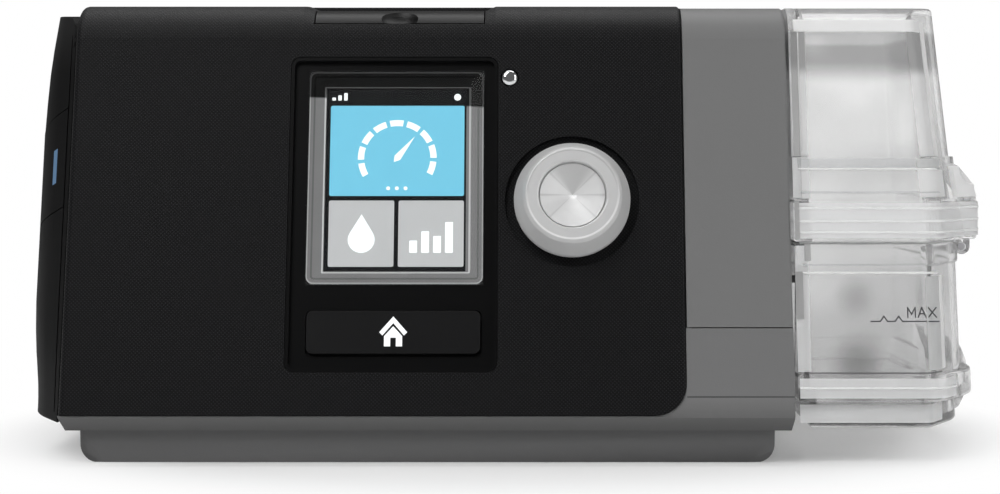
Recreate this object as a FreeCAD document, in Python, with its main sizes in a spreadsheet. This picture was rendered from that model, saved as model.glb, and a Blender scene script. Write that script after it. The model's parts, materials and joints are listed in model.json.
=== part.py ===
"""Bedside breathing machine with a humidifier tub docked on its right side.

Millimetres, +X to the right, +Y to the rear, +Z up; the origin is on the floor under the machine's middle.
The front leans back. What sits on it is drawn in the face frame: x across, up along it and out of it.
"""
import FreeCAD, Part
import math
import os
import re
from FreeCAD import Placement, Rotation, Vector
from Sketcher import Constraint

SIZES = {
    # side profile of the housing, and the leaning face that it starts from
    "lean": 16, "face_y": -74, "face_z": 14,
    "floor_z": 7.8, "lip_y": -71.5, "chin_z": 12.2, "brow_z": 114.6, "brow_round": 12,
    "crown_y": -9, "crown_rise": 3.6, "crown_fall": 3.7, "crown_round": 400, "top_spare": 2.4,
    "rear_y": 57, "shoulder_round": 16, "heel_round": 9,
    # general fits
    "wall": 2.4, "seat_gap": 0.1, "panel_gap": 0.3, "running_gap": 0.1, "thread_gap": 0.03,
    # front skin
    "fascia_left": -110.2, "fascia_right": 45.3, "fascia_skin": 2.5, "fascia_foot": -1.7,
    "fascia_corner": 8, "rear_deep": 8, "fascia_back": 36, "fascia_edge": 2, "edge_soft": 0.8,
    # grey housing behind it, with the column on the right
    "chassis_left": -110.1, "column_left": 45.6, "column_right": 72.1, "column_inset": 0.5,
    "lip_left": -110.2,
    "lip_top": 12.1, "lip_slant": 1.7,
    # left side cover, drawn as seen from above: bulge corner and tail
    "cover_front": -110.6, "cover_flare": 31, "cover_tuck": 1.35, "cover_bend": 4, "cover_tail": 2,
    "cover_reach": 124, "cover_inset": 2.6, "cover_foot": 9, "cover_wall": 2.2, "bulge_length": 150,
    "pad_low": 27, "pad_high": 98, "pad_rise": 1.4, "pad_slope": 3, "pad_soft": 9,
    # plinth and feet
    "plinth_left": -105.4, "plinth_right": 67.4, "plinth_front": -69.5, "plinth_back": 52, "plinth_base": 0.8,
    "plinth_round": 6.5, "plinth_wall": 2.2,
    "foot_radius": 8, "foot_seat": 1.2, "foot_inset": 15, "screw_radius": 1.5, "head_top": 1.8,
    "screw_inset": 32,
    # plain panel low on the column
    "panel_low": 1.3, "panel_high": 20.6, "panel_thick": 1.7,
    # display group, in the face frame
    "bezel_left": -54.5, "bezel_right": -1.7, "bezel_low": 9.2, "bezel_high": 91, "bezel_rim": 0.9,
    "bezel_round": 2.5, "bezel_sink": 1.6, "bezel_floor": 1.6, "bezel_deep": 6.5,
    "lens_left": -49.9, "lens_right": -5.2, "lens_low": 31.7, "lens_high": 87.5, "lens_thick": 2.2,
    "lens_bevel": 3.3, "lens_bevel_drop": 1.2,
    "glass_left": -45.3, "glass_right": -9.2, "glass_low": 35.2, "glass_high": 82.7, "module_margin": 1.8,
    "module_thick": 2.8,
    "home_left": -49.2, "home_right": -5.9, "home_low": 13.9, "home_high": 24.8, "home_round": 1.6,
    "home_front": -0.4, "home_flange": 0.9, "key_travel": 1, "key_gap": 0.35, "home_stem": 1.6,
    "home_dome": 0.45, "dome_half": 3, "module_gap": 0.2,
    "board_left": -64, "board_right": 34, "board_low": 8, "board_high": 92, "board_out": -8.6,
    "board_thick": 1.6, "pillar_radius": 2.6, "board_screw": 1.1, "board_head": 1.4,
    "board_step": 6,
    # dial, in the face frame
    "dial_x": 17.1, "dial_up": 52.9, "dial_base": 14.65, "dial_ring": 11.65, "dial_dish": 8.2,
    "dial_skirt": 2, "dial_rise": 7.2, "dial_float": 0.2, "dial_sink": 0.9, "dial_recess": 17,
    "dial_recess_deep": 1.3, "plunger_radius": 3, "dial_hole": 4.2, "encoder_half": 6.5, "encoder_rise": 4.6,
    "dial_slant": 0.8, "dial_lip": 0.9, "dial_soft": 1.2, "dial_edge": 0.5, "dish_soft": 0.4,
    "insert_thick": 0.8,
    "insert_hollow": 0.3, "plunger_gap": 0.3, "encoder_floor": 0.2, "sensor_step": 0.8,
    "sensor_x": 1.3, "sensor_up": 85.5, "sensor_radius": 2.25, "sensor_rise": 0.7,
    # start and stop button in the brow of the front skin
    "start_left": -48.9, "start_right": -5.4, "start_back": -20, "start_drop": 4.2, "start_inset": 1.2,
    "start_thick": 2.3, "start_lip": 0.7, "ramp_run": 3, "ramp_drop": 1.3, "start_dish": 8, "stem_half": 4,
    "stem_side": 0.7, "dome_rise": 1,
    # dock for the tub: bay under the column, air ports above it
    "bay_left": 46, "bay_front": -58, "bay_back": 34, "bay_floor": 11, "bay_top": 48, "bay_wall": 2,
    "port_z": 68, "port_in_y": -13, "port_out_y": 22, "port_radius": 8, "port_margin": 12, "seal_thick": 1.4,
    "seal_sink": 0.9, "seal_lip": 2.2, "heater_lift": 1.2,
    # water tub
    "tub_left": 72.9, "tub_shoulder": 109.5, "tub_shoulder_round": 6, "tub_flare": 29, "tub_depth": 22,
    "tub_round": 30, "tub_tail": 2, "tub_back": 42, "tub_wall": 2, "tub_set_back": 0.3,
    "pan_foot": 8.9, "pan_inset": 3, "skirt_foot": 15.5, "skirt_top": 22, "rim_foot": 48.5, "seam_z": 54,
    "seam_gap": 0.6, "waist_inset": 1.2, "rim_inset": 0.6, "base_narrow": 1.9, "lid_flange_top": 65.2,
    "lid_shoulder_top": 76, "lid_inset": 2.4,
    "lid_draft": 4,
    "tongue_gap": 1, "tongue_base": 15.5, "tongue_top": 46, "plate_thick": 1.3, "plate_lip": 1.6,
    "plate_margin": 3, "plate_inset": 2, "plate_end": 5, "plate_sink": 0.6, "spring_radius": 3,
    "mid_seal_inset": 1.5,
    "lug_overhang": 4, "hinge_z": 52.4, "knuckle": 2, "pin": 1, "knuckle_gap": 0.35,
    "lug_front": -46, "lug_back": 12, "lug_out": 124, "lug_top": 74.2, "lug_round": 11.5, "lug_slope": 7.5,
    "hinge_front": -36,
    "lug_edge": 2, "knuckle_front": -25.5,
    "knuckle_back": -0.5,
    "grip_out": 121.6, "grip_front": -45, "grip_low": 10.5, "grip_high": 28.5, "grip_soft": 2,
    "tub_edge": 0.8, "lid_edge": 1,
    # blower and air path
    "blower_x": -52, "blower_y": 12, "blower_foot": 56, "blower_top": 80, "duct_half": 10, "duct_reach": 37,
    "scroll_left": 33, "scroll_right": 30, "scroll_front": 35, "scroll_rear": 31.5,
    "scroll_widest": 33.5, "scroll_wide": 31.5, "scroll_narrow": 29.8, "scroll_tongue": 8,
    "clamp_ring": 34.2, "clamp_radius": 4, "clamp_screw": 1, "clamp_depth": 8, "clamp_head": 1.4,
    "impeller_radius": 26, "impeller_high": 13.2, "impeller_lift": 3, "disc_thick": 1.2, "hub_thick": 3,
    "blade_count": 11, "blade_root": 9, "blade_bend": 17, "blade_sweep": 35, "blade_reach": 9.5,
    "blade_thick": 1.2, "blade_curve": 12, "blade_foot": 1.2,
    "shaft_radius": 2, "motor_radius": 17, "motor_top": 102, "motor_cap": 2, "bearing_gap": 0.6,
    "inlet_radius": 11,
    "hose_radius": 9, "hose_wall": 1.6, "elbow_x": 59, "elbow_bend": 10.4,
    "outlet_radius": 11, "outlet_end": 74.5, "outlet_bore": 9.4, "outlet_flange": 13.6,
    "collar_thick": 1.6, "sleeve_reach": 6.8, "sleeve_wall": 0.8, "sleeve_step": 1.2,
    "mount_radius": 5, "mount_ring": 25,
    "box_left": -98, "box_right": -12, "box_front": -20, "box_back": 44, "box_foot": 13.6, "box_top": 46,
    "box_wall": 2,
    # rear: filter door, power socket, adapter cover
    "filter_left": -97, "filter_right": -52, "filter_low": 17, "filter_high": 44, "door_hinge_x": -51.4,
    "door_margin": 3,
    "vent_step": 5, "vent_wide": 2, "vent_margin": 3, "dimple": 9, "dimple_deep": 1.1,
    "socket_x": -20, "socket_z": 26, "socket_wide": 17, "socket_high": 15, "socket_deep": 12.7,
    "socket_wall": 2, "socket_back": 3, "contact_radius": 0.8,
    "adapter_x": 18, "adapter_z": 40, "adapter_wide": 32, "adapter_high": 22,
    # card door on the left cover, in the face frame
    "card_low": 53, "card_high": 79, "card_front": -5, "card_up": 66,
    "card_hinge_out": -34.4, "card_pin": 0.6, "card_pin_reach": 1.5, "card_outs_low": -32.5,
    "card_outs_high": -8.5, "reader_left": -108, "reader_right": -76, "reader_half": 2.7,
    "reader_side": 1.5, "reader_back": 3, "card_thick": 2.1, "card_proud": 2.8, "light_low": 60.6,
    "light_high": 69.8,
    "light_back": -13.4, "light_front": -11,
    "board_y": -27, "board_foot": 13.6, "board_top": 98,
}

doc = FreeCAD.newDocument("breathing_machine")
sheet = doc.addObject("Spreadsheet::Sheet", "Sizes")
for row, (alias, size) in enumerate(SIZES.items(), 1):
    sheet.set("A%d" % row, alias)
    sheet.set("B%d" % row, str(size))
    sheet.setAlias("B%d" % row, alias)
doc.recompute()

PIECES = {}
SPIN = {"X": Rotation(Vector(0, 1, 0), 90), "Y": Rotation(Vector(1, 0, 0), -90), "Z": Rotation()}
PLANE = {"YZ": Rotation(Vector(1, 1, 1), 120), "XZ": Rotation(Vector(1, 0, 0), 90), "XY": Rotation()}
WAY = {"YZ": Vector(1, 0, 0), "XZ": Vector(0, 1, 0), "XY": Vector(0, 0, 1)}
WAY_AXIS = {"YZ": "x", "XZ": "y", "XY": "z"}


# sizes that follow from others: above everything, foot of the start button, hinge axes, left bulge corner
TOP = "brow_z + top_spare"
START_FOOT = "brow_z - start_drop"
HINGE_X = "lug_out - lug_overhang"
CARD_HINGE_X = "cover_wall / 2 - cover_reach"
COVER_SWELL = "(cover_reach + cover_tuck + cover_front)"
COVER_DEPTH = "(cover_inset + %s / tan(cover_flare))" % COVER_SWELL

# ---------------------------------------------------------------- ways of building

def full(rule):
    """The rule with each size's name pointing at its cell."""
    return re.sub(r"[a-z_]+", lambda word: "Sizes." + word.group() if word.group() in SIZES else word.group(),
                  str(rule))


def number(rule):
    """What a rule comes to now."""
    return float(sheet.evalExpression(full(rule)))


def bind(thing, **rules):
    """Ties properties to rules over the sheet; a double underscore in a name stands for a dot."""
    for name, rule in rules.items():
        thing.setExpression(name.replace("__", "."), full(rule))


def place(thing, spin, x, y, z):
    thing.Placement = Placement(Vector(number(x), number(y), number(z)), spin)
    bind(thing, Placement__Base__x=x, Placement__Base__y=y, Placement__Base__z=z)
    return thing


def on_face(thing, x, up, out):
    """Puts a thing drawn as (across, up, out) on the leaning face."""
    y = "face_y + (%s) * sin(lean) - (%s) * cos(lean)" % (up, out)
    z = "face_z + (%s) * cos(lean) + (%s) * sin(lean)" % (up, out)
    place(thing, Rotation(Vector(1, 0, 0), number("90 - lean")), x, y, z)
    bind(thing, Placement__Rotation__Angle="90 - lean")
    return thing


def add(kind, name, **rules):
    thing = doc.addObject(kind, name)
    bind(thing, **rules)
    return thing


def box(name, x, y, z):
    """A block between two X, two Y and two Z values."""
    spans = ["(%s) - (%s)" % (high, low) for low, high in (x, y, z)]
    block = add("Part::Box", name, Length=spans[0], Width=spans[1], Height=spans[2])
    return place(block, Rotation(), x[0], y[0], z[0])


def rod(name, axis, centre, ends, radius):
    """A round bar along an axis; centre holds the other two coordinates in X, Y, Z order."""
    bar = add("Part::Cylinder", name, Radius=radius, Height="(%s) - (%s)" % (ends[1], ends[0]))
    at = list(centre)
    at.insert("XYZ".index(axis), ends[0])
    return place(bar, SPIN[axis], *at)


def face_box(name, x, up, out):
    spans = ["(%s) - (%s)" % (high, low) for low, high in (x, up, out)]
    block = add("Part::Box", name, Length=spans[0], Width=spans[1], Height=spans[2])
    return on_face(block, x[0], up[0], out[0])


def face_rod(name, x, up, out, radius):
    bar = add("Part::Cylinder", name, Radius=radius, Height="(%s) - (%s)" % (out[1], out[0]))
    return on_face(bar, x, up, out[0])


def outline(sketch, corners):
    """A closed outline through corner points (across, up, rounding), tied to the sheet."""
    spots = [Vector(number(corner[0]), number(corner[1]), 0) for corner in corners]
    rounds = [corner[2] if len(corner) > 2 else None for corner in corners]
    starts, ends, centres = [], [], []
    for here, spot in enumerate(spots):
        back = (spots[here - 1] - spot).normalize()
        ahead = (spots[(here + 1) % len(spots)] - spot).normalize()
        radius = number(rounds[here]) if rounds[here] else 0
        half = back.getAngle(ahead) / 2
        starts.append(spot + back * (radius / math.tan(half)))
        ends.append(spot + ahead * (radius / math.tan(half)))
        centres.append(spot + (back + ahead).normalize() * (radius / math.sin(half)))
    sides = [sketch.addGeometry(Part.LineSegment(ends[here], starts[(here + 1) % len(spots)]), False)
             for here in range(len(spots))]
    for here, spot in enumerate(spots):
        before, after = sides[here - 1], sides[here]
        if rounds[here] is None:
            sketch.addConstraint(Constraint("Coincident", before, 2, after, 1))
            tie_point(sketch, after, corners[here])
            continue
        spokes = [starts[here] - centres[here], ends[here] - centres[here]]
        clockwise = spokes[0].cross(spokes[1]).z < 0
        angles = [math.atan2(spoke.y, spoke.x) for spoke in (reversed(spokes) if clockwise else spokes)]
        circle = Part.Circle(centres[here], Vector(0, 0, 1), spokes[0].Length)
        turn = sketch.addGeometry(Part.ArcOfCircle(circle, angles[0], angles[1]), False)
        near, far = (2, 1) if clockwise else (1, 2)
        sketch.addConstraint(Constraint("Tangent", before, 2, turn, near))
        sketch.addConstraint(Constraint("Tangent", turn, far, after, 1))
        size = sketch.addConstraint(Constraint("Radius", turn, spokes[0].Length))
        sketch.setExpression("Constraints[%d]" % size, full(rounds[here]))
        tip = sketch.addGeometry(Part.Point(spot), True)
        sketch.addConstraint(Constraint("PointOnObject", tip, 1, before))
        sketch.addConstraint(Constraint("PointOnObject", tip, 1, after))
        tie_point(sketch, tip, corners[here])
    return sketch


def tie_point(sketch, item, corner):
    """Ties the first point of a sketch item to the two rules of its corner."""
    for kind, rule in (("DistanceX", corner[0]), ("DistanceY", corner[1])):
        if abs(number(rule)) < 1e-9:
            sketch.addConstraint(Constraint("PointOnObject", item, 1, -2 if kind == "DistanceX" else -1))
            continue
        size = sketch.addConstraint(Constraint(kind, -1, 1, item, 1, number(rule)))
        sketch.setExpression("Constraints[%d]" % size, full(rule))


def drawing(name, plane, corners):
    sketch = doc.addObject("Sketcher::SketchObject", name)
    sketch.Placement = Placement(Vector(), PLANE[plane])
    return outline(sketch, corners)


def extrude(name, source, plane, low, high):
    """Carries a drawing on a plane from one value to another along that plane's own axis."""
    solid = add("Part::Extrusion", name, LengthFwd="(%s) - (%s)" % (high, low))
    solid.Base = source
    solid.DirMode = "Custom"
    solid.Dir = WAY[plane]
    solid.Solid = True
    bind(solid, **{"Placement__Base__" + WAY_AXIS[plane]: low})
    return solid


def prism(name, plane, corners, low, high):
    return extrude(name, drawing(name + "_drawing", plane, corners), plane, low, high)


def rounded(x, up, radius=None):
    """The four corners of a rectangle, rounded or sharp."""
    return [(x[0], up[0], radius), (x[1], up[0], radius), (x[1], up[1], radius), (x[0], up[1], radius)]


def face_prism(name, corners, out):
    """An outline on the face, from one height out of it to another."""
    pad = add("Part::Extrusion", name, LengthFwd="(%s) - (%s)" % (out[1], out[0]))
    pad.Base = drawing(name + "_drawing", "XY", corners)
    pad.DirMode = "Custom"
    pad.Dir = Vector(0, 0, 1)
    pad.Solid = True
    return on_face(pad, "0", "0", out[0])


def face_pad(name, x, up, out, radius):
    return face_prism(name, rounded(x, up, radius), out)


def ball(name, x, y, z, radius):
    return place(add("Part::Sphere", name, Radius=radius), Rotation(), x, y, z)


def fuse(name, *parts):
    joined = doc.addObject("Part::MultiFuse", name)
    joined.Shapes = list(parts)
    return joined


def cut(name, base, *tools):
    left = doc.addObject("Part::Cut", name)
    left.Base = base
    left.Tool = tools[0] if len(tools) == 1 else fuse(name + "_tools", *tools)
    return left


def common(name, base, tool):
    both = doc.addObject("Part::Common", name)
    both.Base = base
    both.Tool = tool
    return both


def round_edges(name, base, radius, wanted):
    """Rounds the edges that a test picks."""
    doc.recompute()
    soft = doc.addObject("Part::Fillet", name)
    soft.Base = base
    size = number(radius)
    soft.Edges = [(place_in_list + 1, size, size) for place_in_list, edge in enumerate(base.Shape.Edges)
                  if wanted(edge)]
    return soft


def body_sketch(body, name, role):
    """A sketch on one of a body's own planes."""
    sketch = body.newObject("Sketcher::SketchObject", name)
    plane = [feature for feature in body.Origin.OriginFeatures if feature.Role == role][0]
    sketch.AttachmentSupport = [(plane, "")]
    sketch.MapMode = "FlatFace"
    return sketch


def turned(name, corners):
    """A body turned about its own Z axis from (radius, height) corners."""
    body = doc.addObject("PartDesign::Body", name)
    sketch = outline(body_sketch(body, name + "_section", "XZ_Plane"), corners)
    spin = body.newObject("PartDesign::Revolution", name + "_turning")
    spin.Profile = sketch
    spin.ReferenceAxis = (sketch, ["V_Axis"])
    spin.Angle = 360
    return body


def keep(name, solid):
    """Names a finished sub-part."""
    solid.Label = name
    PIECES[name] = solid
    return solid


# ---------------------------------------------------------------- shared forms

def face_at(z, inset="0"):
    """Y of the leaning face at a height, some way inside it."""
    return "face_y + (%s - face_z) * tan(lean) + (%s) / cos(lean)" % (z, inset)


def drawn_in(corners, inset):
    """Moves an outline inwards: each corner is (across, up, rounding, inward normals before and after it)."""
    if inset == "0":
        return [corner[:3] if corner[2] else corner[:2] for corner in corners]
    moved = []
    for across, up, rounding, before, after in corners:
        step = "(%s) / (1 + (%s) * (%s) + (%s) * (%s))" % (inset, before[0], after[0], before[1], after[1])
        spot = ("%s + (%s + %s) * %s" % (across, before[0], after[0], step),
                "%s + (%s + %s) * %s" % (up, before[1], after[1], step))
        moved.append(spot + ("%s - (%s)" % (rounding, inset),) if rounding else spot)
    return moved


INTO_FACE, INTO_REAR, INTO_FLOOR = ("cos(lean)", "-sin(lean)"), ("-1", "0"), ("0", "1")
INTO_BROW, INTO_CROWN = ("sin(crown_rise)", "-cos(crown_rise)"), ("-sin(crown_fall)", "-cos(crown_fall)")
CROWN_Z = "brow_z + (crown_y - (%s)) * tan(crown_rise)" % face_at("brow_z")
SIDE = [
    (face_at("floor_z"), "floor_z", None, INTO_FLOOR, INTO_FACE),
    (face_at("brow_z"), "brow_z", "brow_round", INTO_FACE, INTO_BROW),
    ("crown_y", CROWN_Z, "crown_round", INTO_BROW, INTO_CROWN),
    ("rear_y", CROWN_Z + " - (rear_y - crown_y) * tan(crown_fall)", "shoulder_round", INTO_CROWN, INTO_REAR),
    ("rear_y", "floor_z", "heel_round", INTO_REAR, INTO_FLOOR)]


def side_prism(name, inset, left, right, drop="0"):
    """The side profile, its floor dropped and all of it shrunk by an inset, carried from left to right."""
    profile = [tuple(part.replace("floor_z", "floor_z - (%s)" % drop) if isinstance(part, str) else part
                     for part in corner) for corner in SIDE]
    return extrude(name, drawing(name + "_profile", "YZ", drawn_in(profile, inset)), "YZ", left, right)


def bulge(name, source, inset, draft="0", pivot="face_z"):
    """A plan drawn as (across, out), shrunk by an inset and carried up along the leaning face.

    With a draft it tips to the left as it rises, keeping its place at the pivot's height.
    """
    plan = drawing(name + "_plan", "XZ", drawn_in(source, inset))
    solid = add("Part::Extrusion", name, LengthFwd="bulge_length")
    solid.Base = plan
    solid.DirMode = "Custom"
    solid.Dir = Vector(-number("tan(%s)" % draft), 1, 0)
    bind(solid, Dir__x="-tan(%s)" % draft)
    solid.Solid = True
    return on_face(solid, "(bulge_length / 10 + (%s - face_z) / cos(lean)) * tan(%s)" % (pivot, draft),
                   "-bulge_length / 10", "0")


# ---------------------------------------------------------------- housing

def board_rods(name, outs, radius):
    """One round bar at each screw of the display board."""
    return [face_rod("%s_%s_%s" % (name, side, end), "board_%s %s 3" % (side, across),
                     "board_%s %s 4" % (end, along), outs, radius)
            for side, across in (("left", "+"), ("right", "-"))
            for end, along in (("low", "+"), ("high", "-"))]


def chassis_housing():
    skin = "fascia_skin + seat_gap"
    core = side_prism("chassis_core", skin, "chassis_left", "column_left + 1")
    column = side_prism("chassis_column", "column_inset", "column_left", "column_right")
    column = round_edges("column_soft", column, "edge_soft",
                         lambda edge: edge.BoundBox.XMin > number("column_right") - 0.01)
    lip = common("chassis_lip", side_prism("lip_bar", "column_inset", "lip_left", "column_left + 1"),
                 box("lip_zone", ("lip_left", "column_left + 1"), ("lip_y - 10", "rear_y - wall * 2"),
                     ("floor_z", "lip_top")))
    hollow = side_prism("chassis_hollow", skin + " + wall", "chassis_left + wall", "column_right - wall")
    shell = cut("chassis_shell", fuse("chassis_mass", core, column, lip), hollow)
    pillars = board_rods("board_pillar", ("board_out", "-(%s)" % skin), "pillar_radius")
    whole = fuse("chassis_whole", shell, *pillars)
    chin = face_at("chin_z")
    cuts = [
        prism("lip_bevel", "YZ", [("lip_y", "floor_z - 1"), ("lip_y", "floor_z"), (chin, "chin_z"),
                                  (chin + " - 9", "chin_z"), (chin + " - 9", "floor_z - 1")],
              "lip_left - 1", "column_right + 1"),
        prism("lip_end", "XZ", [("lip_left - 1", "floor_z - 1"), ("lip_left + lip_slant", "floor_z - 1"),
                                ("lip_left + lip_slant", "floor_z"), ("lip_left", "lip_top"),
                                ("lip_left - 1", "lip_top")], "-bulge_length", "bulge_length"),
        prism("column_end", "XZ", [("column_right + 1", "floor_z - 1"), ("column_right + 1", "lip_top"),
                                   ("column_right", "lip_top"), ("column_right - lip_slant / 2", "floor_z"),
                                   ("column_right - lip_slant / 2", "floor_z - 1")],
              "-bulge_length", "bulge_length"),
        *dock_blocks("dock_way", "seat_gap"),
        face_box("display_way", ("bezel_left - 2", "bezel_right + 2"), ("bezel_low - 2", "bezel_high + 2"),
                 ("-fascia_skin - wall * 3", "0")),
        face_rod("dial_way", "dial_x", "dial_up", ("-fascia_skin - wall * 3", "0"), "encoder_half * 1.6"),
        face_rod("sensor_way", "sensor_x", "sensor_up", ("-fascia_skin - wall * 3", "0"),
                 "sensor_radius + 1"),
        box("start_way", ("start_left - panel_gap * 2", "start_right + panel_gap * 2"),
            (face_at(START_FOOT) + " - 4", "start_back + panel_gap * 2"),
            (START_FOOT + " - 4", TOP + " + 1")),
        face_box("panel_seat", ("column_left + panel_gap", "column_right + 1"),
                 ("panel_low", "panel_high"), ("-column_inset - panel_thick", "1")),
        rod("outlet_hole", "Y", ("elbow_x", "port_z"), ("rear_y - rear_deep * 1.5", "rear_y + 1"),
            "outlet_bore + sleeve_wall + seat_gap"),
        box("filter_way", ("filter_left - 1", "filter_right + 1"), ("rear_y - rear_deep", "rear_y + 1"),
            ("filter_low - 1", "filter_high + 1")),
        box("socket_way", ("socket_x - socket_wide / 2 - panel_gap",
                           "socket_x + socket_wide / 2 + panel_gap"),
            ("rear_y - rear_deep", "rear_y + 1"),
            ("socket_z - socket_high / 2 - panel_gap", "socket_z + socket_high / 2 + panel_gap")),
        face_box("card_way", ("chassis_left - 1", "chassis_left + wall + 1"),
                 ("card_up - reader_half - seat_gap", "card_up + reader_half + seat_gap"),
                 ("card_outs_low - reader_side - seat_gap", "card_outs_high + reader_side + seat_gap")),
    ]
    cuts += screw_rods("housing_hole", ("floor_z", "floor_z + wall * 2"), "screw_radius + thread_gap")
    cuts += board_rods("pillar_hole", ("board_out - 1", "-fascia_skin - wall - seat_gap * 4"),
                       "board_screw + thread_gap")
    keep("chassis_housing", cut("chassis_housing", whole, *cuts))


def dock_blocks(name, grow):
    """The two blocks that the dock fills: the bay, and the wall above it with the air ports."""
    front, back = "bay_front - bay_wall - %s" % grow, "bay_back + bay_wall + %s" % grow
    return [box(name + "_bay", ("bay_left - bay_wall - " + grow, "column_right + %s * 10" % grow),
                (front, back),
                ("floor_z - %s * 10" % grow, "bay_top + bay_wall + " + grow)),
            box(name + "_wall", ("column_right - wall - %s * 10" % grow, "column_right + %s * 10" % grow),
                ("port_in_y - port_radius - port_margin - " + grow, back),
                ("bay_top", "port_z + port_radius + port_margin / 2 + " + grow))]


def dock_frame():
    """The dock moulding: a bay that takes the tub's tongue, and the two air ports."""
    whole = common("dock_whole", fuse("dock_mass", *dock_blocks("dock", "0")),
                   side_prism("dock_limit", "column_inset", "bay_left - bay_wall - 1", "column_right"))
    keep("dock_frame", cut("dock_frame", whole, box(
        "bay_space", ("bay_left", "column_right + 1"), ("bay_front", "bay_back"), ("bay_floor", "bay_top")),
        seal_block("seal_seat", "seat_gap", "seal_thick"),
        *[rod("dock_port_" + way, "X", ("port_%s_y" % way, "port_z"),
              ("column_right - wall * 3", "column_right + 1"),
              "port_radius") for way in ("in", "out")]))


def name_panel():
    plate = face_box("panel_plate", ("column_left + panel_gap * 2", "column_right"),
                     ("panel_low + panel_gap", "panel_high - panel_gap"),
                     ("-column_inset - panel_thick + seat_gap", "-column_inset"))
    keep("name_panel", plate)


def front_fascia():
    mass = side_prism("fascia_mass", "0", "fascia_left", "fascia_right")
    mass = round_edges("fascia_soft", mass, "fascia_edge",
                       lambda edge: edge.BoundBox.XMax < number("fascia_left") + 0.01)
    mass = round_edges("fascia_softer", mass, "edge_soft",
                       lambda edge: edge.BoundBox.XMin > number("fascia_right") - 0.01)
    shell = cut("fascia_shell", mass,
                side_prism("fascia_inside", "fascia_skin", "fascia_left - 1", "fascia_right + 1"))
    sheet_form = face_prism("fascia_form", [
        ("fascia_left", "fascia_foot"), ("fascia_right", "fascia_foot", "fascia_corner"),
        ("fascia_right", "bulge_length"), ("fascia_left", "bulge_length")], ("-bulge_length", "5"))
    limit = box("fascia_limit", ("fascia_left - 1", "fascia_right + 1"), ("fascia_back", "rear_y + 20"),
                ("0", TOP + " + 5"))
    under = box("fascia_under", ("fascia_left - 1", "fascia_right + 1"), ("-bulge_length", "bulge_length"),
                ("0", "lip_top + seat_gap"))
    trimmed = cut("fascia_trimmed", common("fascia_sheet", shell, sheet_form), limit, under)
    across_start = ("start_left - panel_gap", "start_right + panel_gap")
    along_start = (face_at(START_FOOT) + " - 5", "start_back + panel_gap")
    cuts = [
        start_ramp("left_ramp", "start_left - ramp_run", 1),
        start_ramp("right_ramp", "start_right + ramp_run", -1),
        face_pad("bezel_window", ("bezel_left - seat_gap", "bezel_right + seat_gap"),
                 ("bezel_low - seat_gap", "bezel_high + seat_gap"), ("-fascia_skin - 2", "1"), "bezel_round"),
        face_rod("dial_dish", "dial_x", "dial_up", ("-dial_recess_deep", "1"), "dial_recess"),
        face_rod("dial_bore", "dial_x", "dial_up", ("-fascia_skin - 2", "1"), "dial_hole"),
        face_rod("sensor_bore", "sensor_x", "sensor_up", ("-fascia_skin - 2", "1"),
                 "sensor_radius + seat_gap"),
        box("start_window", across_start, along_start, (START_FOOT + " - panel_gap", TOP + " + 1")),
        common("start_travel", side_prism("start_behind", "start_lip", "start_left - 2", "start_right + 2"),
               box("start_travel_zone", across_start, along_start,
                   (START_FOOT + " - key_travel - panel_gap", START_FOOT))),
    ]
    keep("front_fascia", cut("front_fascia", trimmed, *cuts))


def start_ramp(name, edge, way):
    """What slopes the skin down to the start button, from an edge on its left (way 1) or its right (-1)."""
    slope = extrude(name + "_slope", drawing(name + "_profile", "YZ", drawn_in(SIDE, "0")), "YZ",
                    edge, edge + " + ramp_run * 2")
    slope.Dir = Vector(way, 0, -number("ramp_drop / ramp_run"))
    bind(slope, Dir__z="-ramp_drop / ramp_run")
    ends = [edge, edge + " + %d * ramp_run" % way]
    block = box(name + "_block", ends[::way], (face_at(START_FOOT) + " - 5", "start_back + panel_gap"),
                (START_FOOT, TOP + " + 1"))
    return cut(name, block, slope)


def plan_corners(sign, into_join, join, front, flank_start, flare, depth, rounding, tail, front_round=None):
    """A bulging side seen from above, to the left (sign -1) or right (1): flank, bulge corner and tail."""
    across = sign + " * "
    into_front, into_join = ("0", "-1"), (into_join, "0")
    into_flank = ("-(%scos(%s))" % (across, flare), "-sin(%s)" % flare)
    into_tail = ("-(%scos(%s))" % (across, tail), "sin(%s)" % tail)
    corner_x = "%s + %s(%s - (%s)) * tan(%s)" % (flank_start, across, depth, front, flare)
    tail_x = "%s - %s(bulge_length - %s) * tan(%s)" % (corner_x, across, depth, tail)
    return [
        (join, "-(%s)" % front, None, into_join, into_front),
        (flank_start, "-(%s)" % front, front_round, into_front, into_flank),
        (corner_x, "-(%s)" % depth, rounding, into_flank, into_tail),
        (tail_x, "-bulge_length", None, into_tail, ("0", "1")),
        (join, "-bulge_length", None, ("0", "1"), into_join)]


COVER_PLAN = plan_corners("-1", "0", "fascia_left - seat_gap", "cover_inset", "cover_front", "cover_flare",
                          COVER_DEPTH, COVER_SWELL + " * cover_bend", "cover_tail")


def cover_form(name, inset, foot):
    """The left bulge, shrunk by an inset and standing on a height."""
    side = side_prism(name + "_side", "cover_inset + " + inset, "-cover_reach", "chassis_left + 1")
    above = box(name + "_above", ("-cover_reach - 1", "chassis_left + 2"), ("-bulge_length", "bulge_length"),
                (foot, TOP + " + 5"))
    flat, proud = "pad_rise - cover_reach + %s" % inset, "-cover_reach + %s" % inset
    limit = prism(name + "_pad", "XZ", [
        (flat, "0"), (flat, "pad_low - pad_slope", "pad_soft"), (proud, "pad_low + pad_slope", "pad_soft"),
        (proud, "pad_high - pad_slope", "pad_soft"), (flat, "pad_high + pad_slope", "pad_soft"),
        (flat, TOP + " + 6"), ("chassis_left + 3", TOP + " + 6"), ("chassis_left + 3", "0")],
        "-bulge_length", "bulge_length")
    return common(name, common(name + "_high", side, above),
                  common(name + "_swell", bulge(name + "_bulge", COVER_PLAN, inset), limit))


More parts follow.
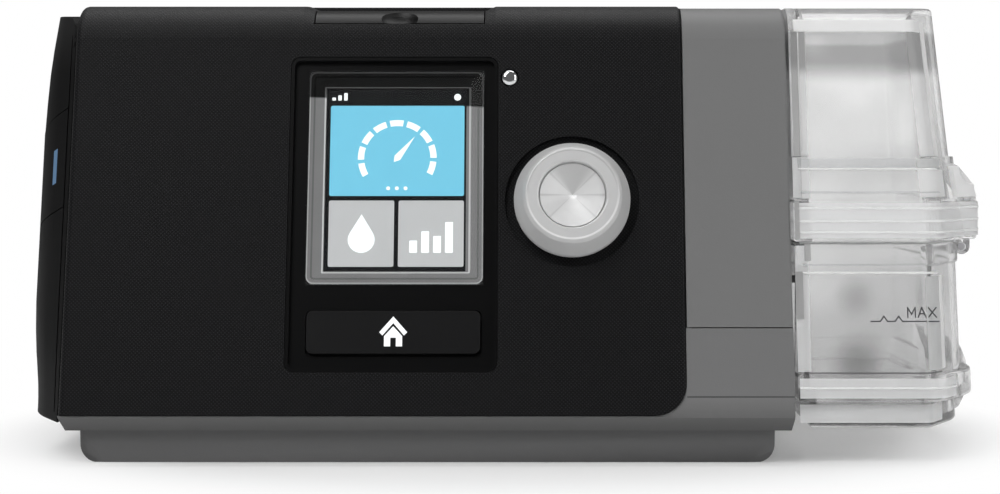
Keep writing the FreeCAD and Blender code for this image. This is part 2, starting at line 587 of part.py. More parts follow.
def upright_rod(name, x, out, ups, radius):
    """A round bar standing along the face."""
    bar = add("Part::Cylinder", name, Radius=radius, Height="(%s) - (%s)" % (ups[1], ups[0]))
    on_face(bar, x, ups[0], out)
    bar.Placement = Placement(bar.Placement.Base, Rotation(Vector(-1, 0, 0), number("lean")))
    bind(bar, Placement__Rotation__Angle="lean")
    return bar


def card_leaf(name, grow):
    """The card door seen from the left, its rear edge rounded about the hinge axis."""
    ups = ("card_low - (%s)" % grow, "card_high + (%s)" % grow)
    leaf = face_box(name + "_plate", ("-cover_reach - 2", "chassis_left - 2"), ups,
                    ("card_hinge_out", "card_front + (%s)" % grow))
    return fuse(name, leaf, upright_rod(name + "_edge", CARD_HINGE_X, "card_hinge_out", ups,
                                        "cover_wall / 2 + (%s)" % grow))


def left_side_cover():
    outer = cover_form("cover_outer", "0", "cover_foot")
    inner = cover_form("cover_inner", "cover_wall", "cover_foot + cover_wall")
    mouth = common("cover_mouth", side_prism("mouth_side", "cover_inset + cover_wall",
                                             "chassis_left - cover_wall", "chassis_left + 2"),
                   box("mouth_above", ("-cover_reach", "chassis_left + 2"), ("-bulge_length", "bulge_length"),
                       ("cover_foot + cover_wall", TOP + " + 5")))
    shell = cut("cover_shell", outer, inner, mouth)
    pin_ups = ("card_low - card_pin_reach", "card_high + card_pin_reach")
    pin_hole = upright_rod("card_pin_hole", CARD_HINGE_X, "card_hinge_out", pin_ups,
                           "card_pin + thread_gap * 2")
    swing = face_box("card_swing", ("-cover_reach - 2", CARD_HINGE_X),
                     ("card_low - panel_gap", "card_high + panel_gap"),
                     ("card_hinge_out - cover_wall / 2 - panel_gap", "card_hinge_out"))
    keep("left_side_cover", cut("left_side_cover", shell, card_leaf("card_opening", "panel_gap"), pin_hole,
                                swing))
    keep("sd_hinge_pin", upright_rod("card_pin_bar", CARD_HINGE_X, "card_hinge_out", pin_ups, "card_pin"))
    light_ups, light_out = ("light_low", "light_high"), ("light_back", "light_front")
    slot = face_box("light_slot", ("-cover_reach - 2", "chassis_left - 2"), light_ups, light_out)
    leaf = common("card_leaf_shell", shell, card_leaf("card_leaf", "0"))
    keep("sd_cover", cut("sd_cover", leaf, slot, pin_hole))
    keep("sd_cover_window", common("sd_cover_window", shell, face_box(
        "light_body", ("-cover_reach - 2", "chassis_left - 2"), light_ups, light_out)))


def card_group():
    reader = face_box("reader_block", ("reader_left", "reader_right"),
                      ("card_up - reader_half", "card_up + reader_half"),
                      ("card_outs_low - reader_side", "card_outs_high + reader_side"))
    slot = face_box("reader_slot", ("reader_left - 1", "reader_right - reader_back"),
                    ("card_up - card_thick / 2 - seat_gap", "card_up + card_thick / 2 + seat_gap"),
                    ("card_outs_low - seat_gap", "card_outs_high + seat_gap"))
    keep("sd_card_reader", cut("sd_card_reader", reader, slot))
    keep("sd_card", face_box("card_slab", ("reader_left - card_proud",
                                           "reader_right - reader_back - seat_gap"),
                             ("card_up - card_thick / 2", "card_up + card_thick / 2"),
                             ("card_outs_low", "card_outs_high")))


def rear_cover():
    shell = cut("rear_shell", side_prism("rear_mass", "0", "fascia_left", "fascia_right"),
                side_prism("rear_inside", "fascia_skin", "fascia_left - 1", "fascia_right + 1"))
    zone = box("rear_zone", ("fascia_left - 1", "fascia_right + 1"),
               ("fascia_back + panel_gap", "rear_y + 1"),
               ("lip_top + seat_gap", TOP + " + 5"))
    cuts = [
        filter_leaf("filter_gap", "panel_gap"), filter_pin("filter_frame_hole", "card_pin + thread_gap * 2"),
        box("filter_swing", ("door_hinge_x", "door_hinge_x + fascia_skin / 2 + panel_gap"),
            ("rear_y - fascia_skin / 2", "rear_y + 1"),
            ("filter_low - door_margin - panel_gap", "filter_high + door_margin + panel_gap")),
        box("socket_gap", ("socket_x - socket_wide / 2 - panel_gap",
                           "socket_x + socket_wide / 2 + panel_gap"),
            ("rear_y - rear_deep", "rear_y + 1"),
            ("socket_z - socket_high / 2 - panel_gap", "socket_z + socket_high / 2 + panel_gap")),
        adapter_form("adapter_gap", "panel_gap", ("rear_y - rear_deep", "rear_y + 1")),
    ]
    keep("rear_cover", cut("rear_cover", common("rear_sheet", shell, zone), *cuts))


def filter_leaf(name, grow):
    """The filter door: a plate whose hinge edge is rounded about its axis."""
    leaf = box(name + "_plate", ("filter_left - door_margin - (%s)" % grow, "door_hinge_x"),
               ("rear_y - fascia_skin - (%s) * 20" % grow, "rear_y + (%s) * 20" % grow),
               ("filter_low - door_margin - (%s)" % grow, "filter_high + door_margin + (%s)" % grow))
    edge = rod(name + "_edge", "Z", ("door_hinge_x", "rear_y - fascia_skin / 2"),
               ("filter_low - door_margin - (%s)" % grow, "filter_high + door_margin + (%s)" % grow),
               "fascia_skin / 2 + (%s)" % grow)
    return fuse(name, leaf, edge)


def filter_pin(name, radius):
    return rod(name, "Z", ("door_hinge_x", "rear_y - fascia_skin / 2"),
               ("filter_low - door_margin - card_pin_reach", "filter_high + door_margin + card_pin_reach"),
               radius)


def adapter_form(name, grow, y):
    wide, high = "(adapter_wide / 2 + (%s))" % grow, "(adapter_high / 2 + (%s))" % grow
    return box(name, ("adapter_x - " + wide, "adapter_x + " + wide), y,
               ("adapter_z - " + high, "adapter_z + " + high))


def rear_doors():
    steps = range(int(number("(filter_right - filter_left - vent_margin * 2) / vent_step")))
    vents = [box("vent_%d" % step, ("filter_left + vent_margin + vent_step * %d" % step,
                                    "filter_left + vent_margin + vent_step * %d + vent_wide" % step),
                 ("rear_y - fascia_skin - 1", "rear_y + 1"),
                 ("filter_low + vent_margin", "filter_high - vent_margin"))
             for step in steps]
    keep("filter_cover", cut("filter_cover", filter_leaf("filter_plate", "0"),
                             filter_pin("filter_leaf_hole", "card_pin + thread_gap * 2"), *vents))
    keep("filter_hinge_pin", filter_pin("filter_pin_bar", "card_pin"))
    dimple = ball("adapter_dimple", "adapter_x", "rear_y + dimple - dimple_deep",
                  "adapter_z - adapter_high / 4",
                  "dimple")
    plate = adapter_form("adapter_plate", "0", ("rear_y - fascia_skin", "rear_y - 0.2"))
    keep("adapter_cover", cut("adapter_cover", plate, dimple))


def base_plinth():
    rim = "floor_z + column_inset"
    outer = prism("plinth_mass", "XZ", [
        ("plinth_left", "plinth_base", "plinth_round"), ("plinth_right", "plinth_base", "plinth_round"),
        ("plinth_right", rim), ("plinth_left", rim)], "plinth_front", "plinth_back")
    left, right, foot = "plinth_left + plinth_wall", "plinth_right - plinth_wall", "plinth_base + plinth_wall"
    hollow = prism("plinth_hollow", "XZ", [
        (left, foot, "plinth_round - plinth_wall"), (right, foot, "plinth_round - plinth_wall"),
        (right, rim + " + 1"), (left, rim + " + 1")], "plinth_front + plinth_wall",
                   "plinth_back - plinth_wall")
    seats = [rod("foot_seat_%d" % order, "Z", spot, ("plinth_base - 1", "plinth_base + foot_seat"),
                 "foot_radius + seat_gap") for order, spot in enumerate(foot_spots())]
    tray = fuse("plinth_tray", cut("plinth_shell", outer, hollow),
                *screw_rods("boss", ("plinth_base", rim), "screw_radius + 2"))
    holes = (screw_rods("plinth_hole", ("plinth_base - 1", rim + " + 1"), "screw_radius + seat_gap")
             + screw_rods("head_seat", ("plinth_base - 1", "plinth_base + head_top"),
                          "screw_radius * 2 + seat_gap"))
    keep("base_plinth", cut("base_plinth", tray, *seats, *holes))
    keep("housing_screws", fuse(
        "housing_screws",
        *screw_rods("screw_head", ("plinth_base + panel_gap", "plinth_base + head_top"), "screw_radius * 2"),
        *screw_rods("screw_shank", ("plinth_base + head_top", "floor_z + wall * 2"), "screw_radius")))


def screw_rods(name, ends, radius):
    """One round bar at each housing screw."""
    return [rod("%s_%d" % (name, order), "Z", (x, y), ends, radius) for order, (x, y) in enumerate(
        (x, y) for x in ("plinth_left + screw_inset", "bay_left - screw_inset")
        for y in ("plinth_front + foot_inset", "plinth_back - foot_inset"))]


def foot_spots():
    return [(x, y) for x in ("plinth_left + foot_inset", "plinth_right - foot_inset")
            for y in ("plinth_front + foot_inset", "plinth_back - foot_inset")]


def rubber_feet():
    feet = [rod("foot_%d" % order, "Z", spot, ("0", "plinth_base + foot_seat"), "foot_radius")
            for order, spot in enumerate(foot_spots())]
    keep("rubber_feet", fuse("rubber_feet", *feet))


# ---------------------------------------------------------------- display and controls

def display_group():
    rim_x, rim_up = ("bezel_left", "bezel_right"), ("bezel_low", "bezel_high")
    inner_x = ("bezel_left + bezel_rim", "bezel_right - bezel_rim")
    inner_up = ("bezel_low + bezel_rim", "bezel_high - bezel_rim")
    block = face_pad("bezel_block", rim_x, rim_up, ("-bezel_deep", "-0.2"), "bezel_round")
    keep("display_bezel", cut("display_bezel", block, *[
        face_pad("bezel_front", inner_x, inner_up, ("-bezel_sink", "1"), "bezel_round - bezel_rim"),
        face_pad("bezel_rear", inner_x, inner_up, ("-bezel_deep - 1", "-bezel_sink - bezel_floor"),
                 "bezel_round - bezel_rim"),
        face_box("glass_window", ("glass_left - seat_gap", "glass_right + seat_gap"),
                 ("glass_low - seat_gap", "glass_high + seat_gap"), ("-bezel_deep", "1")),
        face_pad("home_window", ("home_left - key_gap", "home_right + key_gap"),
                 ("home_low - key_gap * 2", "home_high + key_gap"), ("-bezel_deep", "1"), "home_round")]))

    lens = doc.addObject("PartDesign::Body", "lens_body")
    face = outline(body_sketch(lens, "lens_outline", "XY_Plane"),
                   rounded(("lens_left", "lens_right"), ("lens_low", "lens_high")))
    slab = lens.newObject("PartDesign::Pad", "lens_slab")
    slab.Profile = face
    bind(slab, Length="lens_thick")
    doc.recompute()
    bevel = lens.newObject("PartDesign::Chamfer", "lens_bevel_cut")
    top = slab.Shape.BoundBox.ZMax
    bevel.Base = (slab, ["Edge%d" % (order + 1) for order, edge in enumerate(slab.Shape.Edges)
                         if edge.BoundBox.ZMin > top - 0.01])
    bevel.ChamferType = "Two distances"
    bind(bevel, Size="lens_bevel_drop", Size2="lens_bevel")
    keep("screen_lens", on_face(lens, "0", "0", "-bezel_sink"))

    module = face_box("screen_module", ("glass_left - module_margin", "glass_right + module_margin"),
                      ("glass_low - module_margin", "glass_high + module_margin"),
                      ("-bezel_sink - bezel_floor - module_gap - module_thick",
                       "-bezel_sink - bezel_floor - module_gap"))
    glass = face_box("screen_glass", ("glass_left", "glass_right"), ("glass_low", "glass_high"),
                     ("-bezel_sink - bezel_floor - module_gap", "-bezel_sink - 0.15"))
    keep("lcd_panel", fuse("lcd_panel", module, glass))

    board = face_box("board_plate", ("board_left", "board_right"), ("board_low", "board_high"),
                     ("board_out - board_thick", "board_out"))
    rests = [face_box("screen_rest_%d_%d" % (across, along),
                      ("glass_left + %d" % across, "glass_left + %d + 4" % across),
                      ("glass_low + %d" % along, "glass_low + %d + 4" % along),
                      ("board_out", "-bezel_sink - bezel_floor - module_gap - seat_gap - module_thick"))
             for across in (2, 30) for along in (2, 40)]
    back = "board_out - board_thick"
    holes = board_rods("board_hole", (back + " - 1", "board_out + 1"), "board_screw + 0.1")
    keep("display_board", cut("display_board", fuse("board_and_rests", board, *rests), *holes))
    keep("board_screws", fuse("board_screws",
                              *board_rods("board_head", (back + " - board_head", back), "board_screw * 2"),
                              *board_rods("board_shank", (back, "-fascia_skin - wall - seat_gap * 5"),
                                          "board_screw")))


def home_button():
    back = "-bezel_sink - bezel_floor - 0.3"
    cap = face_pad("home_cap", ("home_left", "home_right"), ("home_low", "home_high"),
                   (back + " - 0.1", "home_front"), "home_round")
    flange = face_pad("home_rim", ("home_left - home_flange", "home_right + home_flange"),
                      ("home_low - home_flange", "home_high + home_flange"), (back + " - 1", back),
                      "home_round")
    stem = face_rod("home_post", "(home_left + home_right) / 2", "(home_low + home_high) / 2",
                    ("board_out + home_dome + seat_gap * 1.5 + key_travel", back), "home_stem")
    keep("home_button", fuse("home_button", cap, flange, stem))
    keep("home_switch", face_rod("home_dome", "(home_left + home_right) / 2", "(home_low + home_high) / 2",
                                 ("board_out", "board_out + home_dome"), "dome_half"))


def start_stop_button():
    shell = cut("start_shell", side_prism("start_mass", "start_inset", "start_left", "start_right"),
                side_prism("start_inside", "start_inset + start_thick", "start_left - 1", "start_right + 1"))
    zone = box("start_zone", ("start_left - 1", "start_right + 1"),
               (face_at(START_FOOT) + " - 8", "start_back"),
               (START_FOOT, TOP + " + 1"))
    cap = common("start_cap", shell, zone)
    middle = "(start_left + start_right) / 2"
    stem = box("start_stem", (middle + " - stem_half", middle + " + stem_half"),
               ("board_y - stem_side", "board_y + board_thick + stem_side"),
               ("board_top + dome_rise + seat_gap + key_travel", TOP + " - start_inset - start_thick - 0.5"))
    dish = ball("start_dish_ball", middle, face_at("brow_z") + " - start_dish / 5", "brow_z + start_dish / 4",
                "start_dish")
    keep("start_stop_button", cut("start_stop_button", fuse("start_cap_and_stem", cap, stem), dish))
    keep("start_switch", box("start_dome", (middle + " - dome_half", middle + " + dome_half"),
                             ("board_y - stem_side", "board_y + board_thick + stem_side"),
                             ("board_top", "board_top + dome_rise")))


def dial_group():
    knob = turned("dial_turned", [
        ("plunger_radius + seat_gap / 2", "dial_float"), ("dial_base", "dial_float"),
        ("dial_base", "dial_skirt"), ("dial_ring + dial_slant", "dial_rise - dial_lip", "dial_soft"),
        ("dial_ring", "dial_rise", "dial_edge"),
        ("dial_dish + dish_soft", "dial_rise", "dish_soft"),
        ("dial_dish", "dial_rise - dial_sink - insert_thick"),
        ("plunger_radius + seat_gap / 2", "dial_rise - dial_sink - insert_thick")])
    keep("dial_knob", on_face(knob, "dial_x", "dial_up", "0"))
    insert = turned("insert_turned", [
        ("0", "dial_rise - dial_sink - insert_thick"),
        ("dial_dish - seat_gap / 2", "dial_rise - dial_sink - insert_thick"),
        ("dial_dish - seat_gap / 2", "dial_rise - dial_sink"),
        ("0", "dial_rise - dial_sink - insert_hollow")])
    keep("dial_insert", on_face(insert, "dial_x", "dial_up", "0"))
    keep("dial_plunger", face_rod("plunger_bar", "dial_x", "dial_up",
                                  ("board_out + plunger_gap + key_travel",
                                   "dial_rise - dial_sink - insert_thick - dial_float"),
                                  "plunger_radius"))
    block = face_box("encoder_block", ("dial_x - encoder_half", "dial_x + encoder_half"),
                     ("dial_up - encoder_half", "dial_up + encoder_half"),
                     ("board_out", "board_out + encoder_rise"))
    bore = face_rod("encoder_bore", "dial_x", "dial_up",
                    ("board_out + encoder_floor", "board_out + encoder_rise + 1"),
                    "plunger_radius + running_gap")
    keep("encoder_body", cut("encoder_body", block, bore))


def light_sensor_lens():
    dome = turned("sensor_turned", [
        ("0", "board_out + 0.1"), ("sensor_radius - sensor_step", "board_out + 0.1"),
        ("sensor_radius - sensor_step", "-fascia_skin"),
        ("sensor_radius", "-fascia_skin"), ("sensor_radius", "sensor_rise", "sensor_radius * 0.6"),
        ("0", "sensor_rise")])
    keep("light_sensor_lens", on_face(dome, "sensor_x", "sensor_up", "0"))


# ---------------------------------------------------------------- tub

def tub_plan(narrow):
    return plan_corners("1", "1", "tub_left", "tub_set_back", "tub_shoulder - " + narrow, "tub_flare",
                        "tub_depth", "tub_round", "tub_tail", "tub_shoulder_round")


def tub_form(name, inset, low, high, sink=None, draft="0", narrow="0"):
    """The tub's outer form between two heights: plan, front and top all shrunk by an inset.

    What it is narrower by comes off its right side alone.
    """
    side = side_prism(name + "_side", "column_inset + " + (sink or inset), "tub_left - 1", "lug_out",
                      drop="floor_z")
    zone = box(name + "_zone", ("tub_left + " + inset, "lug_out + 1"),
               ("-bulge_length", "tub_back - (%s)" % inset),
               (low, high))
    return common(name, common(name + "_slice", side, zone),
                  bulge(name + "_bulge", tub_plan(narrow), inset, draft, "lid_flange_top"))


def tub_band(name, inset, low, high, narrow="0"):
    """A band of the tub's outer form with softened rims."""
    return round_edges(name + "_soft", tub_form(name, inset, low, high, narrow=narrow), "tub_edge",
                       lambda edge: edge.BoundBox.ZLength < 0.01)


def hinge_rod(name, ends, radius):
    return rod(name, "Y", (HINGE_X, "hinge_z"), ends, radius)


def lid_knuckle_zone(name, ends, grow):
    """A lid knuckle with the web that hangs it from the lug."""
    web = box(name + "_web", (HINGE_X + " - 1 - (%s)" % grow, HINGE_X + " + knuckle"), ends,
              ("hinge_z", "seam_z + seam_gap + (%s)" % grow))
    return fuse(name, hinge_rod(name + "_roll", ends, "knuckle + (%s)" % grow), web)


def lug_plan(name, reach, front):
    """The outline of a lug seen from above, rounded at its outer corners."""
    return prism(name, "XY", [
        ("tub_shoulder - 1", front), (reach, front, "lug_round"), (reach, "lug_back", "lug_round"),
        ("tub_shoulder - 1", "lug_back")], "0", TOP)


def tub_base():
    grip = common("grip", prism("grip_section", "XZ", [
        ("tub_shoulder", "grip_high"), ("grip_out - 4", "grip_high", "grip_soft"),
        ("grip_out", "grip_high - 7", "grip_soft * 2"),
        ("grip_out", "grip_low + 5", "grip_soft * 2"), ("grip_out - 3.5", "grip_low", "grip_soft"),
        ("tub_shoulder", "grip_low")],
        "grip_front", "lug_back"), lug_plan("grip_plan", "grip_out", "grip_front"))
    mass = fuse("base_mass", grip, tub_band("base_rim", "rim_inset", "rim_foot", "seam_z", "base_narrow"),
                tub_form("base_wall", "waist_inset", "skirt_top - 1", "rim_foot + 1", narrow="base_narrow"),
                tub_band("base_skirt", "0", "skirt_foot", "skirt_top", "base_narrow / 4"),
                tub_band("base_pan", "pan_inset", "pan_foot", "skirt_foot + tub_edge * 2", "base_narrow"),
                box("tongue_mass", ("bay_left + tongue_gap", "tub_left + 1"),
                    ("bay_front + tongue_gap", "bay_back - tongue_gap"), ("tongue_base", "tongue_top")),
                hinge_rod("base_knuckle", ("knuckle_front", "knuckle_back"), "knuckle"),
                box("knuckle_root", (HINGE_X + " - knuckle * 1.6", HINGE_X),
                    ("knuckle_front", "knuckle_back"), ("hinge_z - knuckle", "hinge_z")))
    room = [tub_form("base_room", "waist_inset + tub_wall", "skirt_foot + tub_wall", "seam_z + 1",
                     narrow="base_narrow"),
            tub_form("pan_room", "pan_inset + tub_wall", "pan_foot + tub_wall",
                     "skirt_foot + tub_wall + 0.5", narrow="base_narrow"),
            box("tongue_room", ("bay_left + tongue_gap + tub_wall", "tub_left + tub_wall * 3"),
                ("bay_front + tongue_gap + tub_wall", "bay_back - tongue_gap - tub_wall"),
                ("tongue_base + tub_wall", "tongue_top - tub_wall"))]
    hinge = [lid_knuckle_zone("front_relief", ("hinge_front - 1", "knuckle_front"), "knuckle_gap"),
             lid_knuckle_zone("back_relief", ("knuckle_back", "lug_back + 1"), "knuckle_gap"),
             hinge_rod("base_pin_hole", ("hinge_front", "lug_back"), "pin + thread_gap")]
    plate_seat = box("plate_seat", ("bay_left + plate_margin", "column_right - plate_inset"),
                     ("bay_front + plate_end", "bay_back - plate_end"),
                     ("tongue_base - 1", "tongue_base + plate_sink"))
    keep("tub_base", cut("tub_base", mass, *room, *hinge, plate_seat))
    keep("tub_heat_plate", box("steel_plate", ("bay_left + plate_margin + plate_lip",
                                               "column_right - plate_inset - plate_lip"),
                               ("bay_front + plate_end + plate_lip", "bay_back - plate_end - plate_lip"),
                               ("tongue_base + plate_sink - plate_thick", "tongue_base + plate_sink")))
    keep("tub_plate_seal", cut(
        "tub_plate_seal",
        box("plate_seal_mass", ("bay_left + plate_margin + seat_gap",
                                "column_right - plate_inset - seat_gap"),
            ("bay_front + plate_end + seat_gap", "bay_back - plate_end - seat_gap"),
            ("tongue_base - panel_gap", "tongue_base + plate_sink")),
        box("plate_seal_room", ("bay_left + plate_margin + plate_lip - seat_gap",
                                "column_right - plate_inset - plate_lip + seat_gap"),
            ("bay_front + plate_end + plate_lip - seat_gap", "bay_back - plate_end - plate_lip + seat_gap"),
            ("tongue_base - 1", "tongue_base + 1"))))
    keep("tub_hinge_pin", hinge_rod("tub_pin", ("hinge_front + 1", "lug_back - 1"), "pin"))


def tub_lid():
    under = "seam_z + seam_gap"
    lug = common("lid_lug", prism("lug_section", "XZ", [
        ("tub_shoulder", "lug_top"), ("lug_out - lug_slope", "lug_top", "3"),
        ("lug_out - 2.2", "lug_top - 5.5", "5"), ("lug_out", "lug_top - 12", "6"),
        ("lug_out", under, "lug_edge"), ("tub_shoulder", under)], "lug_front", "lug_back"),
        lug_plan("lug_plan", "lug_out", "lug_front"))
    dome = tub_form("lid_dome", "lid_inset", "lid_shoulder_top - 0.5", TOP, "0", "lid_draft")
    dome = round_edges("dome_soft", dome, "lid_edge",
                       lambda edge: edge.BoundBox.ZMin > number("brow_z - brow_round * 1.2"))
    mass = fuse("lid_mass", tub_band("lid_flange", "0", under, "lid_flange_top"),
                tub_form("lid_shoulder", "lid_inset / 2", "lid_flange_top - 0.5", "lid_shoulder_top",
                         draft="lid_draft"),
                dome, lug,
                lid_knuckle_zone("front_knuckle", ("hinge_front", "knuckle_front - knuckle_gap"), "0"),
                lid_knuckle_zone("back_knuckle", ("knuckle_back + knuckle_gap", "lug_back"), "0"))
    room = tub_form("lid_room", "lid_inset + tub_wall", under + " - 1", TOP, "tub_wall", "lid_draft")
    ports = [rod("lid_port_%s" % way, "X", ("port_%s_y" % way, "port_z"),
                 ("tub_left - 1", "tub_left + tub_wall * 4"),
                 "port_radius") for way in ("in", "out")]
    relief = [box("lid_seal_relief", ("tub_left - 1", "tub_left + seat_gap"),
                  ("port_in_y - port_radius - seal_lip - 1", "port_out_y + port_radius + seal_lip + 1"),
                  ("port_z - port_radius - seal_lip - 1", "port_z + port_radius + seal_lip + 1")),
              hinge_rod("lid_relief", ("knuckle_front - knuckle_gap", "knuckle_back + knuckle_gap"),
                        "knuckle + knuckle_gap"),
              hinge_rod("lid_pin_hole", ("hinge_front - 1", "lug_back + 1"), "pin + running_gap")]
    keep("tub_lid", cut("tub_lid", mass, room, *ports, *relief))
    keep("tub_mid_seal", cut("mid_seal",
                             tub_form("mid_seal_mass", "mid_seal_inset", "seam_z",
                                      "seam_z + seam_gap - seat_gap", narrow="base_narrow"),
                             tub_form("mid_seal_room", "waist_inset + tub_wall - seat_gap * 4", "seam_z - 1",
                                      "seam_z + 2", narrow="base_narrow")))


def seal_block(name, grow, thick):
    """The plate round both air ports, standing in the dock's right wall."""
    return box(name, ("column_right - seal_sink", "column_right - seal_sink + " + thick),
               ("port_in_y - port_radius - seal_lip - " + grow,
                "port_out_y + port_radius + seal_lip + " + grow),
               ("port_z - port_radius - seal_lip - " + grow, "port_z + port_radius + seal_lip + " + grow))


def dock_group():
    plate = seal_block("seal_plate", "0", "seal_thick")
    holes = [rod("seal_hole_%s" % way, "X", ("port_%s_y" % way, "port_z"),
                 ("column_right - 1", "column_right + 3"),
                 "port_radius") for way in ("in", "out")]
    keep("dock_seal", cut("dock_seal", plate, *holes))
    keep("heater_plate", box("heater_slab", ("bay_left + plate_margin", "column_right - plate_inset"),
                             ("bay_front + plate_end", "bay_back - plate_end"),
                             ("bay_floor + heater_lift",
                              "tongue_base + plate_sink - plate_thick - panel_gap")))
    springs = [rod("heater_spring_%d_%d" % (column, row), "Z", (x, y),
                   ("bay_floor", "bay_floor + heater_lift"), "spring_radius")
               for column, x in enumerate(("bay_left + 8", "column_right - 8"))
               for row, y in enumerate(("bay_front + 14", "bay_back - 14"))]
    keep("heater_springs", fuse("heater_springs", *springs))


# ---------------------------------------------------------------- air path

def scroll_block(name, inset, low, high):
    """The spiral housing seen from above, widening from the tongue at the front right to the duct."""
    left, right = "blower_x - scroll_left + " + inset, "blower_x + scroll_right - " + inset
    front, rear = "blower_y - scroll_front + " + inset, "blower_y + scroll_rear - " + inset
    return prism(name, "XY", [
        (left, front, "scroll_widest - " + inset), (right, front, "scroll_tongue - " + inset),
        (right, rear, "scroll_narrow - " + inset), (left, rear, "scroll_wide - " + inset)], low, high)


def clamp_rods(name, ends, radius):
    """One round bar at each screw that holds the two halves of the blower together."""
    return [rod("%s_%d" % (name, turn), "Z", ("blower_x + clamp_ring * cos(%d)" % turn,
                                              "blower_y + clamp_ring * sin(%d)" % turn), ends, radius)
            for turn in (45, 135, 225, 338)]


def blower():
    middle = ("blower_x", "blower_y")
    duct = ("port_in_y - duct_half", "port_in_y + duct_half")
    room = scroll_block("scroll_room", "wall", "blower_foot + wall", "blower_top - wall")
    channel = rod("outlet_channel", "X", ("port_in_y", "port_z"), ("blower_x", "blower_x + duct_reach + 1"),
                  "hose_radius - hose_wall")
    halves = {}
    for half, low, high, duct_ends in (("low", "blower_foot", "port_z", ("port_z - duct_half", "port_z")),
                                       ("high", "port_z", "blower_top", ("port_z", "port_z + duct_half"))):
        halves[half] = fuse("half_" + half, scroll_block("scroll_" + half, "0", low, high),
                            box("duct_" + half, ("blower_x", "blower_x + duct_reach"), duct, duct_ends),
                            *clamp_rods("clamp_" + half, (low, high), "clamp_radius"))
    inlet = rod("inlet_eye", "Z", middle, ("blower_foot - 1", "blower_foot + wall + 1"), "inlet_radius")
    boss = rod("shaft_way", "Z", middle, ("blower_top - wall - 1", "blower_top + 1"), "shaft_radius + 1")
    keep("blower_volute", cut("blower_volute", halves["low"], room, channel, inlet,
                              *clamp_rods("clamp_thread", ("port_z - clamp_depth", "port_z + 1"),
                                          "clamp_screw + thread_gap")))
    keep("blower_lid", cut("blower_lid", halves["high"], room, channel, boss,
                           *clamp_rods("clamp_hole", ("port_z - 1", "blower_top + 1"),
                                       "clamp_screw + thread_gap")))
    keep("blower_screws", fuse(
        "blower_screws", *clamp_rods("clamp_head", ("blower_top", "blower_top + clamp_head"),
                                     "clamp_screw * 2"),
        *clamp_rods("clamp_shank", ("port_z - clamp_depth", "blower_top"), "clamp_screw")))
    can = rod("motor_can", "Z", middle, ("blower_top", "motor_top"), "motor_radius")
    keep("motor_stator", cut("motor_stator", can,
                             rod("motor_bore", "Z", middle, ("blower_top - 1", "motor_top - motor_cap"),
                                 "shaft_radius + bearing_gap")))
    mounts = [rod("mount_%d" % turn, "Z", ("blower_x + mount_ring * cos(%d)" % turn,
                                           "blower_y + mount_ring * sin(%d)" % turn),
                  ("box_top", "blower_foot"), "mount_radius") for turn in (30, 150, 270)]
    keep("blower_mounts", fuse("blower_mounts", *mounts))


def rotor():
    """The impeller on its shaft: a cupped disc that carries swept blades, open towards the inlet below."""
    keep("motor_shaft", rod("shaft_bar", "Z", ("blower_x", "blower_y"),
                            ("blower_foot + wall + impeller_lift - panel_gap", "motor_top - motor_cap - 1"),
                            "shaft_radius"))
    wheel = turned("impeller_turned", [
        ("shaft_radius", "0"), ("shaft_radius + hub_thick", "0"),
        ("shaft_radius + hub_thick + 1", "blade_root"),
        ("impeller_radius", "impeller_high - disc_thick"), ("impeller_radius", "impeller_high"),
        ("shaft_radius", "impeller_high")])
    half, bend = "blade_thick / 2", "blade_thick / 2 * tan(blade_sweep / 2)"
    tip_x, tip_y = "blade_bend + blade_reach * cos(blade_sweep)", "blade_reach * sin(blade_sweep)"
    section = body_sketch(wheel, "blade_section", "XY_Plane")
    section.AttachmentOffset = Placement(Vector(0, 0, number("blade_foot")), Rotation())
    bind(section, AttachmentOffset__Base__z="blade_foot")
    outline(section, [
        ("blade_root", "-" + half), ("blade_bend + " + bend, "-" + half, "blade_curve + " + half),
        (tip_x + " + %s * sin(blade_sweep)" % half, tip_y + " - %s * cos(blade_sweep)" % half),
        (tip_x + " - %s * sin(blade_sweep)" % half, tip_y + " + %s * cos(blade_sweep)" % half),
        ("blade_bend - " + bend, half, "blade_curve - " + half), ("blade_root", half)])
    blade = wheel.newObject("PartDesign::Pad", "blade")
    blade.Profile = section
    bind(blade, Length="impeller_high - disc_thick / 2 - blade_foot")
    blades = wheel.newObject("PartDesign::PolarPattern", "blades")
    blades.Originals = [blade]
    blades.Axis = (section, ["N_Axis"])
    blades.Angle = 360
    bind(blades, Occurrences="blade_count")
    wheel.Tip = blades
    place(wheel, Rotation(), "blower_x", "blower_y", "blower_foot + wall + impeller_lift")
    keep("impeller", wheel)


def air_box():
    mass = box("box_mass", ("box_left", "box_right"), ("box_front", "box_back"), ("box_foot", "box_top"))
    room = box("box_room", ("box_left + box_wall", "box_right - box_wall"),
               ("box_front + box_wall", "box_back - box_wall"),
               ("box_foot + box_wall", "box_top - box_wall"))
    eye = rod("box_eye", "Z", ("blower_x", "blower_y"), ("box_top - 3", "box_top + 1"), "inlet_radius")
    mouth = box("box_mouth", ("filter_left + box_wall", "filter_right - box_wall"),
                ("box_back - 3", "box_back + 1"),
                ("filter_low + box_wall", "filter_high - box_wall"))
    keep("air_box", cut("air_box", mass, room, eye, mouth))
    keep("air_filter", box("filter_pad", ("filter_left", "filter_right"),
                           ("box_back + panel_gap", "rear_y - fascia_skin - panel_gap"),
                           ("filter_low", "filter_high")))


